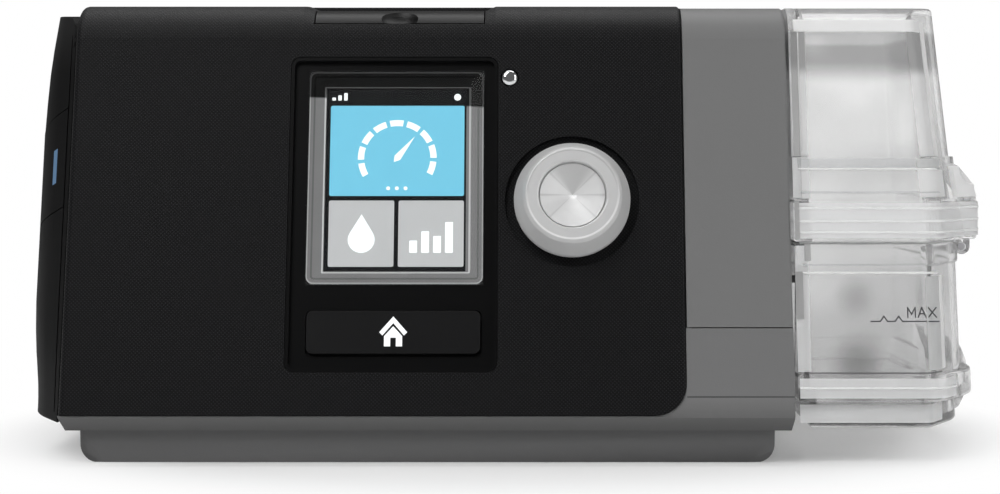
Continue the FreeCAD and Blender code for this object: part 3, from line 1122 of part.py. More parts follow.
def hoses():
    start = "blower_x + duct_reach + seat_gap * 2"
    hose = cut("hose", rod("hose_bar", "X", ("port_in_y", "port_z"), (start, "column_right - wall"),
                           "hose_radius"),
               rod("hose_bore", "X", ("port_in_y", "port_z"), (start + " - 1", "column_right"),
                   "hose_radius - hose_wall"))
    keep("outlet_hose", hose)
    parts = []
    for name, radius in (("elbow_outside", "hose_radius"), ("elbow_inside", "hose_radius - hose_wall")):
        bend = add("Part::Torus", name + "_bend", Radius1="elbow_bend", Radius2=radius)
        bend.Angle3 = 90
        place(bend, Rotation(Vector(0, 0, 1), 180), "elbow_x + elbow_bend", "port_out_y + elbow_bend",
              "port_z")
        entry = rod(name + "_entry", "X", ("port_out_y", "port_z"),
                    ("elbow_x + elbow_bend", "column_right - wall"),
                    radius)
        leave = rod(name + "_leave", "Y", ("elbow_x", "port_z"),
                    ("port_out_y + elbow_bend", "rear_y - sleeve_reach - panel_gap"), radius)
        parts.append(fuse(name, bend, entry, leave))
    keep("outlet_elbow", cut("outlet_elbow", *parts))
    back = "rear_y - column_inset"
    port = fuse("outlet_mass",
                rod("outlet_tube", "Y", ("elbow_x", "port_z"), (back, "outlet_end"), "outlet_radius"),
                rod("outlet_collar", "Y", ("elbow_x", "port_z"), (back, back + " + collar_thick"),
                    "outlet_flange"),
                rod("outlet_sleeve", "Y", ("elbow_x", "port_z"), ("rear_y - sleeve_reach", back),
                    "outlet_bore + sleeve_wall"))
    keep("air_outlet_port", cut("air_outlet_port", port, rod(
        "outlet_way", "Y", ("elbow_x", "port_z"), ("rear_y - rear_deep", "outlet_end + 1"),
        "outlet_bore - sleeve_step")))


def power_group():
    x = ("socket_x - socket_wide / 2", "socket_x + socket_wide / 2")
    z = ("socket_z - socket_high / 2", "socket_z + socket_high / 2")
    block = box("socket_block", x, ("rear_y - socket_deep", "rear_y - 0.3"), z)
    recess = box("socket_recess", ("socket_x - socket_wide / 2 + socket_wall",
                                   "socket_x + socket_wide / 2 - socket_wall"),
                 ("rear_y - socket_deep + socket_back", "rear_y + 1"),
                 ("socket_z - socket_high / 2 + socket_wall", "socket_z + socket_high / 2 - socket_wall"))
    keep("power_socket", cut("power_socket", block, recess))
    pins = [rod("contact_%s" % label, "Y", ("socket_x + (%d)" % offset, "socket_z"),
                ("rear_y - socket_deep + socket_back", "rear_y - socket_back"), "contact_radius")
            for label, offset in (("left", -4), ("middle", 0), ("right", 4))]
    keep("socket_pins", fuse("socket_pins", *pins))


def main_board():
    keep("main_board", box("main_plate", ("board_left + board_step", "board_right"),
                           ("board_y", "board_y + board_thick"), ("board_foot", "board_top")))


for build in (chassis_housing, dock_frame, name_panel, front_fascia, left_side_cover, card_group, rear_cover,
              rear_doors, base_plinth, rubber_feet, display_group, home_button, start_stop_button, dial_group,
              light_sensor_lens, tub_base, tub_lid, dock_group, blower, rotor, air_box, hoses, power_group,
              main_board):
    build()

# ---------------------------------------------------------------- checks and files

doc.recompute()
for thing in doc.Objects:
    if {"Invalid", "Error"} & set(thing.State):
        raise RuntimeError("%s did not build: %s" % (thing.Label, thing.State))
for name, piece in PIECES.items():
    if piece.Shape.isNull() or not piece.Shape.isValid() or not piece.Shape.Solids:
        raise RuntimeError("%s has no valid solid" % name)
os.makedirs("parts", exist_ok=True)
for name, piece in PIECES.items():
    piece.Shape.exportStep("parts/%s.step" % name)
    print(name, len(piece.Shape.Solids), round(piece.Shape.Volume, 1))
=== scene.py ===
"""Looks of a bedside breathing machine with a clear water tub docked on its right.

Metres, +Z up, +X to the machine's right, +Y to its rear. The face frame of the leaning front is (across, up, out) in
millimetres: across is X, up runs along the face from its foot, out stands off it.
"""
import json
import math

import bmesh
import bpy
import numpy as np
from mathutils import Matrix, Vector


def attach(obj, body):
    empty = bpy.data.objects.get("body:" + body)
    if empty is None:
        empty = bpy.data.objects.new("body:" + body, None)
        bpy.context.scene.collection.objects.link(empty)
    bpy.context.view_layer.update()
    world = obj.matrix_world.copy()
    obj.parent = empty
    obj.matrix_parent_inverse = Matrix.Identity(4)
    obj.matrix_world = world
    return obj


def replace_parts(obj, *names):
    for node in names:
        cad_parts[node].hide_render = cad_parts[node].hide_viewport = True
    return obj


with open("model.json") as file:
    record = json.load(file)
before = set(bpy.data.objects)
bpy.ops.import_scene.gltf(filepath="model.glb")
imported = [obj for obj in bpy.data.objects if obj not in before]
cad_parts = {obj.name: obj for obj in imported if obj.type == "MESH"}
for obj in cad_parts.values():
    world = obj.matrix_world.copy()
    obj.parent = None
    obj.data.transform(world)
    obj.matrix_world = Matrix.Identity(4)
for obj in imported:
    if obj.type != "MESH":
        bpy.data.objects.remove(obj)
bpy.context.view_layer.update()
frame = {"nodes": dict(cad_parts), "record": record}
nodes = frame["nodes"]

MM = 0.001
LEAN = math.radians(16)
FACE_Y, FACE_Z = -74.0, 14.0
ACROSS = np.array([1.0, 0.0, 0.0])
UP_FACE = np.array([0.0, math.sin(LEAN), math.cos(LEAN)])
OUT_FACE = np.array([0.0, -math.cos(LEAN), math.sin(LEAN)])
FOOT = np.array([0.0, FACE_Y, FACE_Z])


def on_face(points):
    """Face frame points (across, up, out) in mm, as row frame points in metres: foot + across X + up U + out N."""
    points = np.asarray(points, float)
    return (FOOT + points[..., :1] * ACROSS + points[..., 1:2] * UP_FACE + points[..., 2:3] * OUT_FACE) * MM


# ---------------------------------------------------------------- meshes

def place_piece(name, mesh, body):
    """An object of a mesh at the origin, riding on a CAD body."""
    piece = bpy.data.objects.new(name, mesh)
    bpy.context.scene.collection.objects.link(piece)
    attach(piece, body)
    return piece


def mesh_piece(name, points, faces, body, material):
    """A flat-shaded piece from whole arrays of points and faces, riding on a CAD body."""
    mesh = bpy.data.meshes.new(name)
    mesh.from_pydata(np.asarray(points).reshape(-1, 3).tolist(), [], [tuple(face) for face in faces])
    mesh.materials.append(material)
    mesh.update()
    place_piece(name, mesh, body)


def slab_faces(count):
    """Faces of a plate over an outline of count points: its front, its back turned round, and the rim between."""
    here = np.arange(count)
    rim = np.stack([here, (here + 1) % count, (here + 1) % count + count, here + count], 1)
    return [list(here), list(here[::-1] + count)] + [list(side[::-1]) for side in rim]


def face_plate(name, outline, out, thick, body, material):
    """A thin plate on the face: the outline (across, up) at height out, and again thick below it."""
    outline = np.asarray(outline, float)
    area = np.sum(outline[:, 0] * np.roll(outline[:, 1], -1) - np.roll(outline[:, 0], -1) * outline[:, 1])
    outline = outline if area > 0 else outline[::-1]
    top = np.column_stack([outline, np.full(len(outline), out)])
    low = np.column_stack([outline, np.full(len(outline), out - thick)])
    mesh_piece(name, on_face(np.vstack([top, low])), slab_faces(len(outline)), body, material)


def ring_outline(centre, radius, turn=(0.0, 360.0), count=48):
    """Points at one radius round a centre, from one angle to another."""
    angles = np.radians(np.linspace(turn[0], turn[1], count, endpoint=turn[1] - turn[0] < 360))
    return np.column_stack([centre[0] + radius * np.cos(angles), centre[1] + radius * np.sin(angles)])


def band_outline(centre, inner, outer, turn, count=32):
    """A part of a ring: out along the outer radius and back along the inner one."""
    return np.vstack([ring_outline(centre, outer, turn, count), ring_outline(centre, inner, turn, count)[::-1]])


def rounded_outline(low, high, radius, count=8):
    """A rectangle from low to high with its corners turned at one radius."""
    corners = [(high[0] - radius, high[1] - radius, 0), (low[0] + radius, high[1] - radius, 90),
               (low[0] + radius, low[1] + radius, 180), (high[0] - radius, low[1] + radius, 270)]
    return np.vstack([ring_outline((x, y), radius, (start, start + 90), count) for x, y, start in corners])


# ---------------------------------------------------------------- materials

def new_material(name):
    """A material with an empty node tree."""
    material = bpy.data.materials.new(name)
    material.use_nodes = True
    tree = material.node_tree
    tree.nodes.clear()
    return material, tree


def link(tree, source, target):
    """Join one socket to another."""
    tree.links.new(source, target)


def make_grain_group():
    """Moulded grain and handling marks: fine noise as a height, and a slow noise that moves the roughness."""
    group = bpy.data.node_groups.new("moulded_grain", "ShaderNodeTree")
    for name, default in (("Scale", 2500.0), ("Rough", 0.4), ("Spread", 0.08)):
        socket = group.interface.new_socket(name, in_out="INPUT", socket_type="NodeSocketFloat")
        socket.default_value = default
    group.interface.new_socket("Roughness", in_out="OUTPUT", socket_type="NodeSocketFloat")
    group.interface.new_socket("Height", in_out="OUTPUT", socket_type="NodeSocketFloat")
    entry, leave = group.nodes.new("NodeGroupInput"), group.nodes.new("NodeGroupOutput")
    place = group.nodes.new("ShaderNodeTexCoord")
    fine, slow = group.nodes.new("ShaderNodeTexNoise"), group.nodes.new("ShaderNodeTexNoise")
    fine.inputs["Detail"].default_value = 2.0
    slow.inputs["Scale"].default_value = 45.0
    slow.inputs["Detail"].default_value = 3.0
    link(group, place.outputs["Object"], fine.inputs["Vector"])
    link(group, place.outputs["Object"], slow.inputs["Vector"])
    link(group, entry.outputs["Scale"], fine.inputs["Scale"])
    shift = group.nodes.new("ShaderNodeMath")
    shift.operation = "SUBTRACT"
    shift.inputs[1].default_value = 0.5
    link(group, slow.outputs["Fac"], shift.inputs[0])
    spread = group.nodes.new("ShaderNodeMath")
    spread.operation = "MULTIPLY_ADD"
    link(group, shift.outputs[0], spread.inputs[0])
    link(group, entry.outputs["Spread"], spread.inputs[1])
    link(group, entry.outputs["Rough"], spread.inputs[2])
    link(group, spread.outputs[0], leave.inputs["Roughness"])
    link(group, fine.outputs["Fac"], leave.inputs["Height"])
    return group


GRAIN = make_grain_group()


def math_node(tree, operation, first, second=None, third=None):
    """The result of one sum on numbers or sockets."""
    node = tree.nodes.new("ShaderNodeMath")
    node.operation = operation
    for socket, value in zip(node.inputs, (first, second, third)):
        if value is None:
            continue
        if isinstance(value, (int, float)):
            socket.default_value = value
        else:
            link(tree, value, socket)
    return node.outputs[0]


def map_range(tree, value, ends, outs=(0.0, 1.0), smooth=True):
    """A value run from one pair of ends to another, with soft ends or evenly."""
    run = tree.nodes.new("ShaderNodeMapRange")
    run.interpolation_type = "SMOOTHSTEP" if smooth else "LINEAR"
    for socket, number in zip(("From Min", "From Max", "To Min", "To Max"), (*ends, *outs)):
        run.inputs[socket].default_value = number
    link(tree, value, run.inputs["Value"])
    return run.outputs["Result"]


def blend(tree, share, first, second):
    """One colour turned into another by a share."""
    tint = tree.nodes.new("ShaderNodeMix")
    tint.data_type = "RGBA"
    tint.inputs["A"].default_value = (*first, 1.0)
    tint.inputs["B"].default_value = (*second, 1.0)
    link(tree, share, tint.inputs["Factor"])
    return tint.outputs["Result"]


def reach_from(tree, across, up):
    """The length of (across, up)."""
    squares = [math_node(tree, "POWER", way, 2.0) for way in (across, up)]
    return math_node(tree, "SQRT", math_node(tree, "ADD", *squares))


def principled(tree, colour, metallic=0.0, specular=0.5):
    """The shader of a finish, with its constant values set on its own sockets."""
    shader, leave = tree.nodes.new("ShaderNodeBsdfPrincipled"), tree.nodes.new("ShaderNodeOutputMaterial")
    shader.inputs["Base Color"].default_value = (*colour, 1.0)
    shader.inputs["Metallic"].default_value = metallic
    shader.inputs["Specular IOR Level"].default_value = specular
    link(tree, shader.outputs["BSDF"], leave.inputs["Surface"])
    return shader


def shader_of(material):
    """The shader that a finish was made with."""
    return next(node for node in material.node_tree.nodes if node.type == "BSDF_PRINCIPLED")


def add_bump(tree, shader, height, distance):
    """A bump of a height in metres on a shader."""
    bump = tree.nodes.new("ShaderNodeBump")
    bump.inputs["Distance"].default_value = distance
    bump.inputs["Strength"].default_value = 1.0
    link(tree, height, bump.inputs["Height"])
    link(tree, bump.outputs["Normal"], shader.inputs["Normal"])


def add_grain(tree, shader, rough, spread, scale=2500.0):
    """The moulded grain on a shader: it moves the roughness, and its height is given back for a bump."""
    grain = tree.nodes.new("ShaderNodeGroup")
    grain.node_tree = GRAIN
    for socket, number in (("Scale", scale), ("Rough", rough), ("Spread", spread)):
        grain.inputs[socket].default_value = number
    link(tree, grain.outputs["Roughness"], shader.inputs["Roughness"])
    return grain.outputs["Height"]


def moulded(name, colour, rough=0.45, spread=0.08, scale=2500.0, depth=0.00002, metallic=0.0, specular=0.5):
    """A moulded plastic, rubber or plain metal finish with grain."""
    material, tree = new_material(name)
    shader = principled(tree, colour, metallic, specular)
    add_bump(tree, shader, add_grain(tree, shader, rough, spread, scale), depth)
    return material


def face_position(tree, centre=(0.0, 0.0)):
    """Across and up of the face frame in millimetres, as sockets, from Object coordinates."""
    place, turn = tree.nodes.new("ShaderNodeTexCoord"), tree.nodes.new("ShaderNodeMapping")
    turn.vector_type = "TEXTURE"
    turn.inputs["Location"].default_value = on_face([centre[0], centre[1], 0.0])
    turn.inputs["Rotation"].default_value = (math.pi / 2 - LEAN, 0.0, 0.0)
    turn.inputs["Scale"].default_value = (MM, MM, MM)
    split = tree.nodes.new("ShaderNodeSeparateXYZ")
    link(tree, place.outputs["Object"], turn.inputs["Vector"])
    link(tree, turn.outputs["Vector"], split.inputs["Vector"])
    return split.outputs["X"], split.outputs["Y"]


def by_height(tree, low, high, under, over, base=None):
    """A grey that runs from one value to another between two heights in mm, added to a base colour if one is given."""
    place, split = tree.nodes.new("ShaderNodeTexCoord"), tree.nodes.new("ShaderNodeSeparateXYZ")
    link(tree, place.outputs["Object"], split.inputs["Vector"])
    grey = map_range(tree, split.outputs["Z"], (low * MM, high * MM), (under, over))
    if base is None:
        return grey
    total = tree.nodes.new("ShaderNodeVectorMath")
    link(tree, base, total.inputs[0])
    link(tree, grey, total.inputs[1])
    return total.outputs["Vector"]


def shade_by_height(material, low, high, under, over, socket="Base Color"):
    """Make one value of a plain finish, its colour if no other is named, change with height."""
    tree = material.node_tree
    link(tree, by_height(tree, low, high, under, over), shader_of(material).inputs[socket])


DOTS_PALER = 8.0
# Painted highlight on the fascia's crown: low and high heights in mm, then the grey added below and above.
CROWN_PAINTED_HIGHLIGHT = (108.0, 114.0, 0.0, 0.022)


def dotted_black(name, colour, rough, pitch):
    """Matte black with staggered raised dots: the positive part of sin(pi x/p) sin(pi y/p), squared off.

    It has a painted highlight where the skin turns over at the top.
    """
    material, tree = new_material(name)
    shader = principled(tree, colour, specular=0.17)
    across, up = face_position(tree)
    waves = [math_node(tree, "SINE", math_node(tree, "MULTIPLY", way, math.pi / pitch)) for way in (across, up)]
    dots = map_range(tree, math_node(tree, "MULTIPLY", *waves), (0.15, 0.75))
    tint = blend(tree, dots, colour, [channel * DOTS_PALER for channel in colour])
    link(tree, by_height(tree, *CROWN_PAINTED_HIGHLIGHT, tint), shader.inputs["Base Color"])
    add_grain(tree, shader, rough, 0.06)
    add_bump(tree, shader, dots, 0.0001)
    return material


def spun_metal(name, colour, rough, centre, ring_pitch, depth):
    """Turned metal: fine rings about a centre as a bump so that light gathers in fans, and painted reflection fans in
    its colour.
    """
    material, tree = new_material(name)
    shader = principled(tree, colour, metallic=0.4)
    shader.inputs["Roughness"].default_value = rough
    across, up = face_position(tree, centre)
    reach = reach_from(tree, across, up)
    rings = tree.nodes.new("ShaderNodeTexNoise")
    rings.noise_dimensions = "1D"
    rings.inputs["Scale"].default_value = 1.0 / ring_pitch
    rings.inputs["Detail"].default_value = 2.0
    link(tree, reach, rings.inputs["W"])
    add_bump(tree, shader, rings.outputs["Fac"], depth)
    side, rise = math_node(tree, "DIVIDE", across, reach), math_node(tree, "DIVIDE", up, reach)
    level = math_node(tree, "ABSOLUTE", rise)
    cross = math_node(tree, "ABSOLUTE", math_node(tree, "SUBTRACT", math_node(tree, "ABSOLUTE", side), level))
    # Painted reflection fans: darker along the level, the diagonals and the top, paler towards the bottom.
    tone = None
    for value, low, high, grey, over in ((level, 0.0, 0.07, 0.8, 1.0), (cross, 0.0, 0.09, 0.86, 1.0),
                                         (rise, 0.95, 0.6, 0.72, 1.0), (rise, -0.55, -0.95, 0.93, 1.04)):
        painted_fan = map_range(tree, value, (low, high), (grey, over))
        tone = painted_fan if tone is None else math_node(tree, "MULTIPLY", tone, painted_fan)
    link(tree, math_node(tree, "MULTIPLY", tone, colour[0]), shader.inputs["Base Color"])
    return material


def turned_grip(name, colour, rough, centre, ring):
    """The dial's satin body: painted highlight on the lower half and painted shade on the upper half of a fine ring
    about its centre.
    """
    material = moulded(name, colour, rough, metallic=0.25, depth=0.000008)
    tree = material.node_tree
    across, up = face_position(tree, centre)
    reach = reach_from(tree, across, up)
    # Painted highlight and shade along the ring: paler on its lower half, darker on its upper half.
    gap = math_node(tree, "ABSOLUTE", math_node(tree, "SUBTRACT", reach, ring))
    line = map_range(tree, gap, (0.1, 0.35), (1.0, 0.0))
    side = map_range(tree, math_node(tree, "DIVIDE", up, reach), (-0.7, 0.5), (0.4, -0.22))
    grey = math_node(tree, "MULTIPLY_ADD", math_node(tree, "MULTIPLY", line, side), colour[0], colour[0])
    link(tree, math_node(tree, "MINIMUM", grey, 0.95), shader_of(material).inputs["Base Color"])
    return material


def clear_plastic(name, tint, rough, ior=1.49, clear=1.0):
    """Clear moulded plastic: transmission, partly milky, with a faint grain on its skin."""
    material, tree = new_material(name)
    shader = principled(tree, tint)
    shader.inputs["Transmission Weight"].default_value = clear
    shader.inputs["IOR"].default_value = ior
    add_grain(tree, shader, rough, 0.03, 90.0)
    return material


# Painted shade and light on the tub: height in mm and grey, then place in mm, reach in mm and darkness, above 1 for
# light.
TUB_PAINTED_TONES = ((8.0, 0.76), (22.0, 0.79), (44.0, 0.81), (53.0, 0.86), (56.0, 0.93), (66.0, 0.88), (72.5, 0.87),
             (76.0, 0.91), (82.0, 0.95), (96.5, 0.94), (101.0, 0.63), (107.9, 0.63), (109.2, 0.97))
TUB_PAINTED_SPOTS = (((104.0, 38.0, 15.0), 11.0, 0.35), ((115.5, -30.0, 21.5), 7.0, 0.45), ((103.0, 40.0, 34.0), 8.0, 0.6),
              ((118.0, 0.0, 37.0), 9.0, 0.65), ((80.0, -47.0, 105.2), 5.0, 1.3), ((104.0, -47.0, 103.7), 5.0, 1.22))


def shaded_clear(name, rough, ior, clear):
    """Clear plastic with painted shade by height, and soft painted shade about a few deep places where walls overlap,
    light at two.
    """
    material, tree = new_material(name)
    shader = principled(tree, (1.0, 1.0, 1.0))
    shader.inputs["Transmission Weight"].default_value = clear
    shader.inputs["IOR"].default_value = ior
    shader.inputs["Roughness"].default_value = rough
    place, split = tree.nodes.new("ShaderNodeTexCoord"), tree.nodes.new("ShaderNodeSeparateXYZ")
    link(tree, place.outputs["Object"], split.inputs["Vector"])
    # Painted shade by height, darkest in the band under the brow.
    ramp = tree.nodes.new("ShaderNodeValToRGB")
    ramp.color_ramp.interpolation = "EASE"
    ramp_top = 0.12
    while len(ramp.color_ramp.elements) < len(TUB_PAINTED_TONES):
        ramp.color_ramp.elements.new(0.5)
    for spot, (height, grey) in zip(ramp.color_ramp.elements, TUB_PAINTED_TONES):
        spot.position = height * MM / ramp_top
        spot.color = (grey, grey, grey, 1.0)
    link(tree, math_node(tree, "DIVIDE", split.outputs["Z"], ramp_top), ramp.inputs["Fac"])
    clouds = tree.nodes.new("ShaderNodeTexNoise")
    clouds.inputs["Scale"].default_value = 38.0
    clouds.inputs["Detail"].default_value = 0.0
    link(tree, place.outputs["Object"], clouds.inputs["Vector"])
    cloud = map_range(tree, clouds.outputs["Fac"], (0.3, 0.6), (0.88, 1.04), smooth=False)
    tone = math_node(tree, "MULTIPLY", ramp.outputs["Color"], cloud)
    # Painted shade about each spot; a darkness above 1 paints light there instead.
    for centre, reach, dark in TUB_PAINTED_SPOTS:
        gap = tree.nodes.new("ShaderNodeVectorMath")
        gap.operation = "DISTANCE"
        gap.inputs[1].default_value = [value * MM for value in centre]
        link(tree, place.outputs["Object"], gap.inputs[0])
        fade = map_range(tree, gap.outputs["Value"], (0.0, reach * MM), (dark, 1.0))
        tone = math_node(tree, "MULTIPLY", tone, fade)
    link(tree, tone, shader.inputs["Base Color"])
    return material


def glowing(name, colour, strength):
    """A lit part of the screen."""
    material, tree = new_material(name)
    shader = principled(tree, [channel * 0.3 for channel in colour], specular=0.1)
    shader.inputs["Roughness"].default_value = 0.35
    shader.inputs["Emission Color"].default_value = (*colour, 1.0)
    shader.inputs["Emission Strength"].default_value = strength
    return material


def printed(name, colour):
    """A flat, even finish for print and grooves."""
    material, tree = new_material(name)
    principled(tree, colour).inputs["Roughness"].default_value = 0.5
    return material


DIAL_CENTRE, DIAL_RING = (17.1, 52.9), 11.4


fascia_black = dotted_black("fascia_black", (0.0022, 0.0022, 0.0025), 0.5, 0.47)
cover_black = moulded("cover_black", (0.0026, 0.0026, 0.0028), 0.5, specular=0.09)
shade_by_height(cover_black, 97.0, 112.0, 0.035, 0.09, "Specular IOR Level")
rear_black = moulded("rear_black", (0.012, 0.012, 0.013), 0.55)
housing_grey = moulded("housing_grey", (0.186, 0.186, 0.187), 0.5, specular=0.35)
# Painted shade: the housing is darker towards its foot, from 17.5 mm down to 7 mm, where its lower lip faces down.
shade_by_height(housing_grey, 7.0, 17.5, 0.1, 0.186)
panel_grey = moulded("panel_grey", (0.182, 0.182, 0.183), 0.48, specular=0.35)
plinth_grey = moulded("plinth_grey", (0.135, 0.135, 0.136), 0.55, specular=0.35)
bezel_black = moulded("bezel_black", (0.0018, 0.0018, 0.002), 0.3, spread=0.04, depth=0.000004, specular=0.2)
lens_clear = clear_plastic("lens_clear", (0.97, 0.98, 0.98), 0.02, 1.17)
home_black = moulded("home_black", (0.004, 0.004, 0.0044), 0.38, specular=0.26)
start_grey = moulded("start_grey", (0.0045, 0.0045, 0.005), 0.36, specular=0.2)
# Painted highlight and shade: the start key is paler above 112.5 mm and darker below 111.7 mm.
shade_by_height(start_grey, 111.7, 112.5, 0.0008, 0.014)
dial_silver = turned_grip("dial_silver", (0.66, 0.66, 0.655), 0.42, DIAL_CENTRE, DIAL_RING)
dial_disc = spun_metal("dial_disc", (0.95, 0.95, 0.95), 0.34, DIAL_CENTRE, 0.12, 0.00003)
sensor_chrome = moulded("sensor_chrome", (0.8, 0.81, 0.82), 0.08, 0.02, metallic=1.0, depth=0.0)
window_blue = glowing("window_blue", (0.16, 0.32, 0.55), 0.3)
tub_clear = shaded_clear("tub_clear", 0.09, 1.12, 0.88)
tub_milky = clear_plastic("tub_milky", (0.97, 0.973, 0.975), 0.3, 1.25, 0.6)
tub_white = clear_plastic("tub_white", (1.0, 1.0, 1.0), 0.25, 1.2, 0.25)
tub_shade = clear_plastic("tub_shade", (0.84, 0.845, 0.85), 0.2, 1.2, 0.85)
tub_pale = clear_plastic("tub_pale", (1.0, 1.0, 1.0), 0.28, 1.2, 0.4)
tub_pane = clear_plastic("tub_pane", (0.97, 0.973, 0.975), 0.3, 1.2, 0.42)
# Painted shade: the pane films darken from 96 to 99.5 mm up, for the shaded band under the brow.
shade_by_height(tub_pane, 96.0, 99.5, 0.97, 0.54)
tub_mist = clear_plastic("tub_mist", (0.78, 0.785, 0.785), 0.3, 1.2, 0.5)
tub_dark = printed("tub_dark", (0.12, 0.12, 0.125))
tub_rail = clear_plastic("tub_rail", (0.55, 0.55, 0.55), 0.3, 1.1, 0.5)
silicone_grey = moulded("silicone_grey", (0.62, 0.63, 0.63), 0.5)
feet_rubber = moulded("feet_rubber", (0.02, 0.02, 0.02), 0.8)
steel_plate = moulded("steel_plate", (0.6, 0.6, 0.62), 0.28, metallic=1.0)
pin_steel = moulded("pin_steel", (0.5, 0.5, 0.52), 0.3, metallic=1.0)
heater_metal = moulded("heater_metal", (0.5, 0.5, 0.51), 0.4, metallic=1.0)
board_green = moulded("board_green", (0.01, 0.06, 0.03), 0.4)
part_black = moulded("part_black", (0.015, 0.015, 0.016), 0.5)
card_grey = moulded("card_grey", (0.06, 0.07, 0.09), 0.5)
filter_white = moulded("filter_white", (0.7, 0.7, 0.68), 0.9, scale=1200.0, depth=0.0002)
duct_black = moulded("duct_black", (0.03, 0.03, 0.033), 0.5)
motor_metal = moulded("motor_metal", (0.2, 0.2, 0.21), 0.4, metallic=0.8)
impeller_white = moulded("impeller_white", (0.6, 0.6, 0.58), 0.35)
outlet_grey = moulded("outlet_grey", (0.14, 0.142, 0.145), 0.45)
pin_brass = moulded("pin_brass", (0.6, 0.42, 0.16), 0.25, metallic=1.0)
screen_black = glowing("screen_black", (0.002, 0.0025, 0.0035), 0.5)
screen_blue = glowing("screen_blue", (0.175, 0.555, 0.74), 0.82)
screen_grey = glowing("screen_grey", (0.5, 0.505, 0.51), 0.8)
screen_white = glowing("screen_white", (0.9, 0.92, 0.93), 0.95)
groove_dark = printed("groove_dark", (0.035, 0.035, 0.036))
print_dark = printed("print_dark", (0.06, 0.06, 0.065))

FINISHES = {
    "housing_grey": housing_grey, "panel_grey": panel_grey, "fascia_black": fascia_black,
    "cover_black": cover_black, "rear_black": rear_black, "plinth_grey": plinth_grey, "feet_rubber": feet_rubber,
    "bezel_black": bezel_black, "screen_clear": lens_clear, "screen_display": screen_black,
    "home_black": home_black, "start_grey": start_grey, "dial_silver": dial_silver, "dial_disc": dial_disc,
    "sensor_chrome": sensor_chrome, "window_blue": window_blue, "tub_clear": tub_clear,
    "silicone_grey": silicone_grey, "steel_plate": steel_plate, "pin_steel": pin_steel,
    "heater_metal": heater_metal, "board_green": board_green, "part_black": part_black, "card_grey": card_grey,
    "filter_white": filter_white, "duct_black": duct_black, "motor_metal": motor_metal,
    "impeller_white": impeller_white, "plunger_metal": pin_steel, "outlet_grey": outlet_grey,
    "pin_brass": pin_brass}
for part in frame["record"]["subparts"]:
    mesh = nodes[part["node"]].data
    for place in range(max(1, len(mesh.materials))):
        if mesh.materials:
            mesh.materials[place] = FINISHES[part["material_slot"]]
        else:
            mesh.materials.append(FINISHES[part["material_slot"]])

# ---------------------------------------------------------------- screen picture

SCREEN_OUT = -1.73
SCREEN_SKIN = 0.012


def screen_shape(name, outline, layer, material):
    """A lit shape just above the screen's glass; each layer is one skin further out."""
    face_plate("screen_" + name, outline, SCREEN_OUT + (layer + 1) * SCREEN_SKIN * 2, SCREEN_SKIN, "housing",
               material)


def screen_picture():
    """A plain status page: a dark strip, a blue tile with a pressure gauge, and two grey tiles."""
    screen_shape("ground", rounded_outline((-45.2, 35.3), (-9.3, 82.6), 0.2, 2), 0, screen_black)
    screen_shape("blue_tile", rounded_outline((-44.3, 54.6), (-10.2, 78.4), 0.5), 1, screen_blue)
    screen_shape("left_tile", rounded_outline((-44.3, 36.2), (-27.8, 53.4), 0.5), 1, screen_grey)
    screen_shape("right_tile", rounded_outline((-26.7, 36.2), (-10.2, 53.4), 0.5), 1, screen_grey)
    gauge = (-27.2, 64.6)
    for step in range(9):
        start = -30 + step * 27
        screen_shape("gauge_%d" % step, band_outline(gauge, 8.4, 10.0, (start + 3, start + 24), 6), 2, screen_white)
    needle = np.array([[0.9, 0.0], [0.0, 7.2], [-0.9, 0.0], [0.0, -1.4]])
    tilt = math.radians(-38)
    turned = needle @ np.array([[math.cos(tilt), math.sin(tilt)], [-math.sin(tilt), math.cos(tilt)]])
    screen_shape("needle", turned + gauge, 2, screen_white)
    for step in range(3):
        screen_shape("page_dot_%d" % step, ring_outline((-29.4 + step * 2.2, 56.6), 0.5, count=16), 2, screen_white)
    angles = np.radians(np.linspace(-210, 30, 24))
    drop = np.vstack([np.column_stack([3.4 * np.cos(angles), 3.4 * np.sin(angles)]), [[0.0, 6.6]]])
    screen_shape("drop", drop + (-36.0, 43.2), 2, screen_white)
    for step, tall in enumerate((3.2, 5.6, 4.4, 8.0)):
        low = (-23.9 + step * 3.0, 39.8)
        screen_shape("bar_%d" % step, rounded_outline(low, (low[0] + 2.0, low[1] + tall), 0.2, 3), 2, screen_white)
    for step in range(3):
        low = (-44.0 + step * 1.5, 79.8)
        screen_shape("signal_%d" % step, rounded_outline(low, (low[0] + 0.9, low[1] + 0.8 + step * 0.6), 0.1, 2), 1,
                     screen_white)
    screen_shape("sound", ring_outline((-12.0, 80.7), 0.9, count=20), 1, screen_white)


screen_picture()

# ---------------------------------------------------------------- lens, home key and column

LENS_BACK, LENS_SPLIT = -1.55, (78.0, 77.4)


def mirrored(name, dark, pale):
    """A painted reflection in grey: dark near the lens's top and paler below, split by a line that falls a little to
    the right.
    """
    material, tree = new_material(name)
    shader = principled(tree, (0.0, 0.0, 0.0), specular=0.05)
    across, up = face_position(tree)
    fade = map_range(tree, math_node(tree, "MULTIPLY_ADD", across, 0.06, up), LENS_SPLIT)
    link(tree, blend(tree, fade, [dark] * 3, [pale] * 3), shader.inputs["Base Color"])
    return material


def lens_ring(name, low, high, radius, wide, inner, out, material):
    """A flat ring behind the lens between a rounded rectangle and one a width inside it."""
    outer = rounded_outline(low, high, radius)
    within = rounded_outline((low[0] + wide[0], low[1] + wide[1]), (high[0] - wide[0], high[1] - wide[2]), inner)
    points = np.vstack([outer, within])
    count = len(outer)
    here = np.arange(count)
    after = (here + 1) % count
    faces = np.stack([here, after, after + count, here + count], 1).tolist()
    mesh_piece(name, on_face(np.column_stack([points, np.full(len(points), out)])), faces, "housing",
               material)


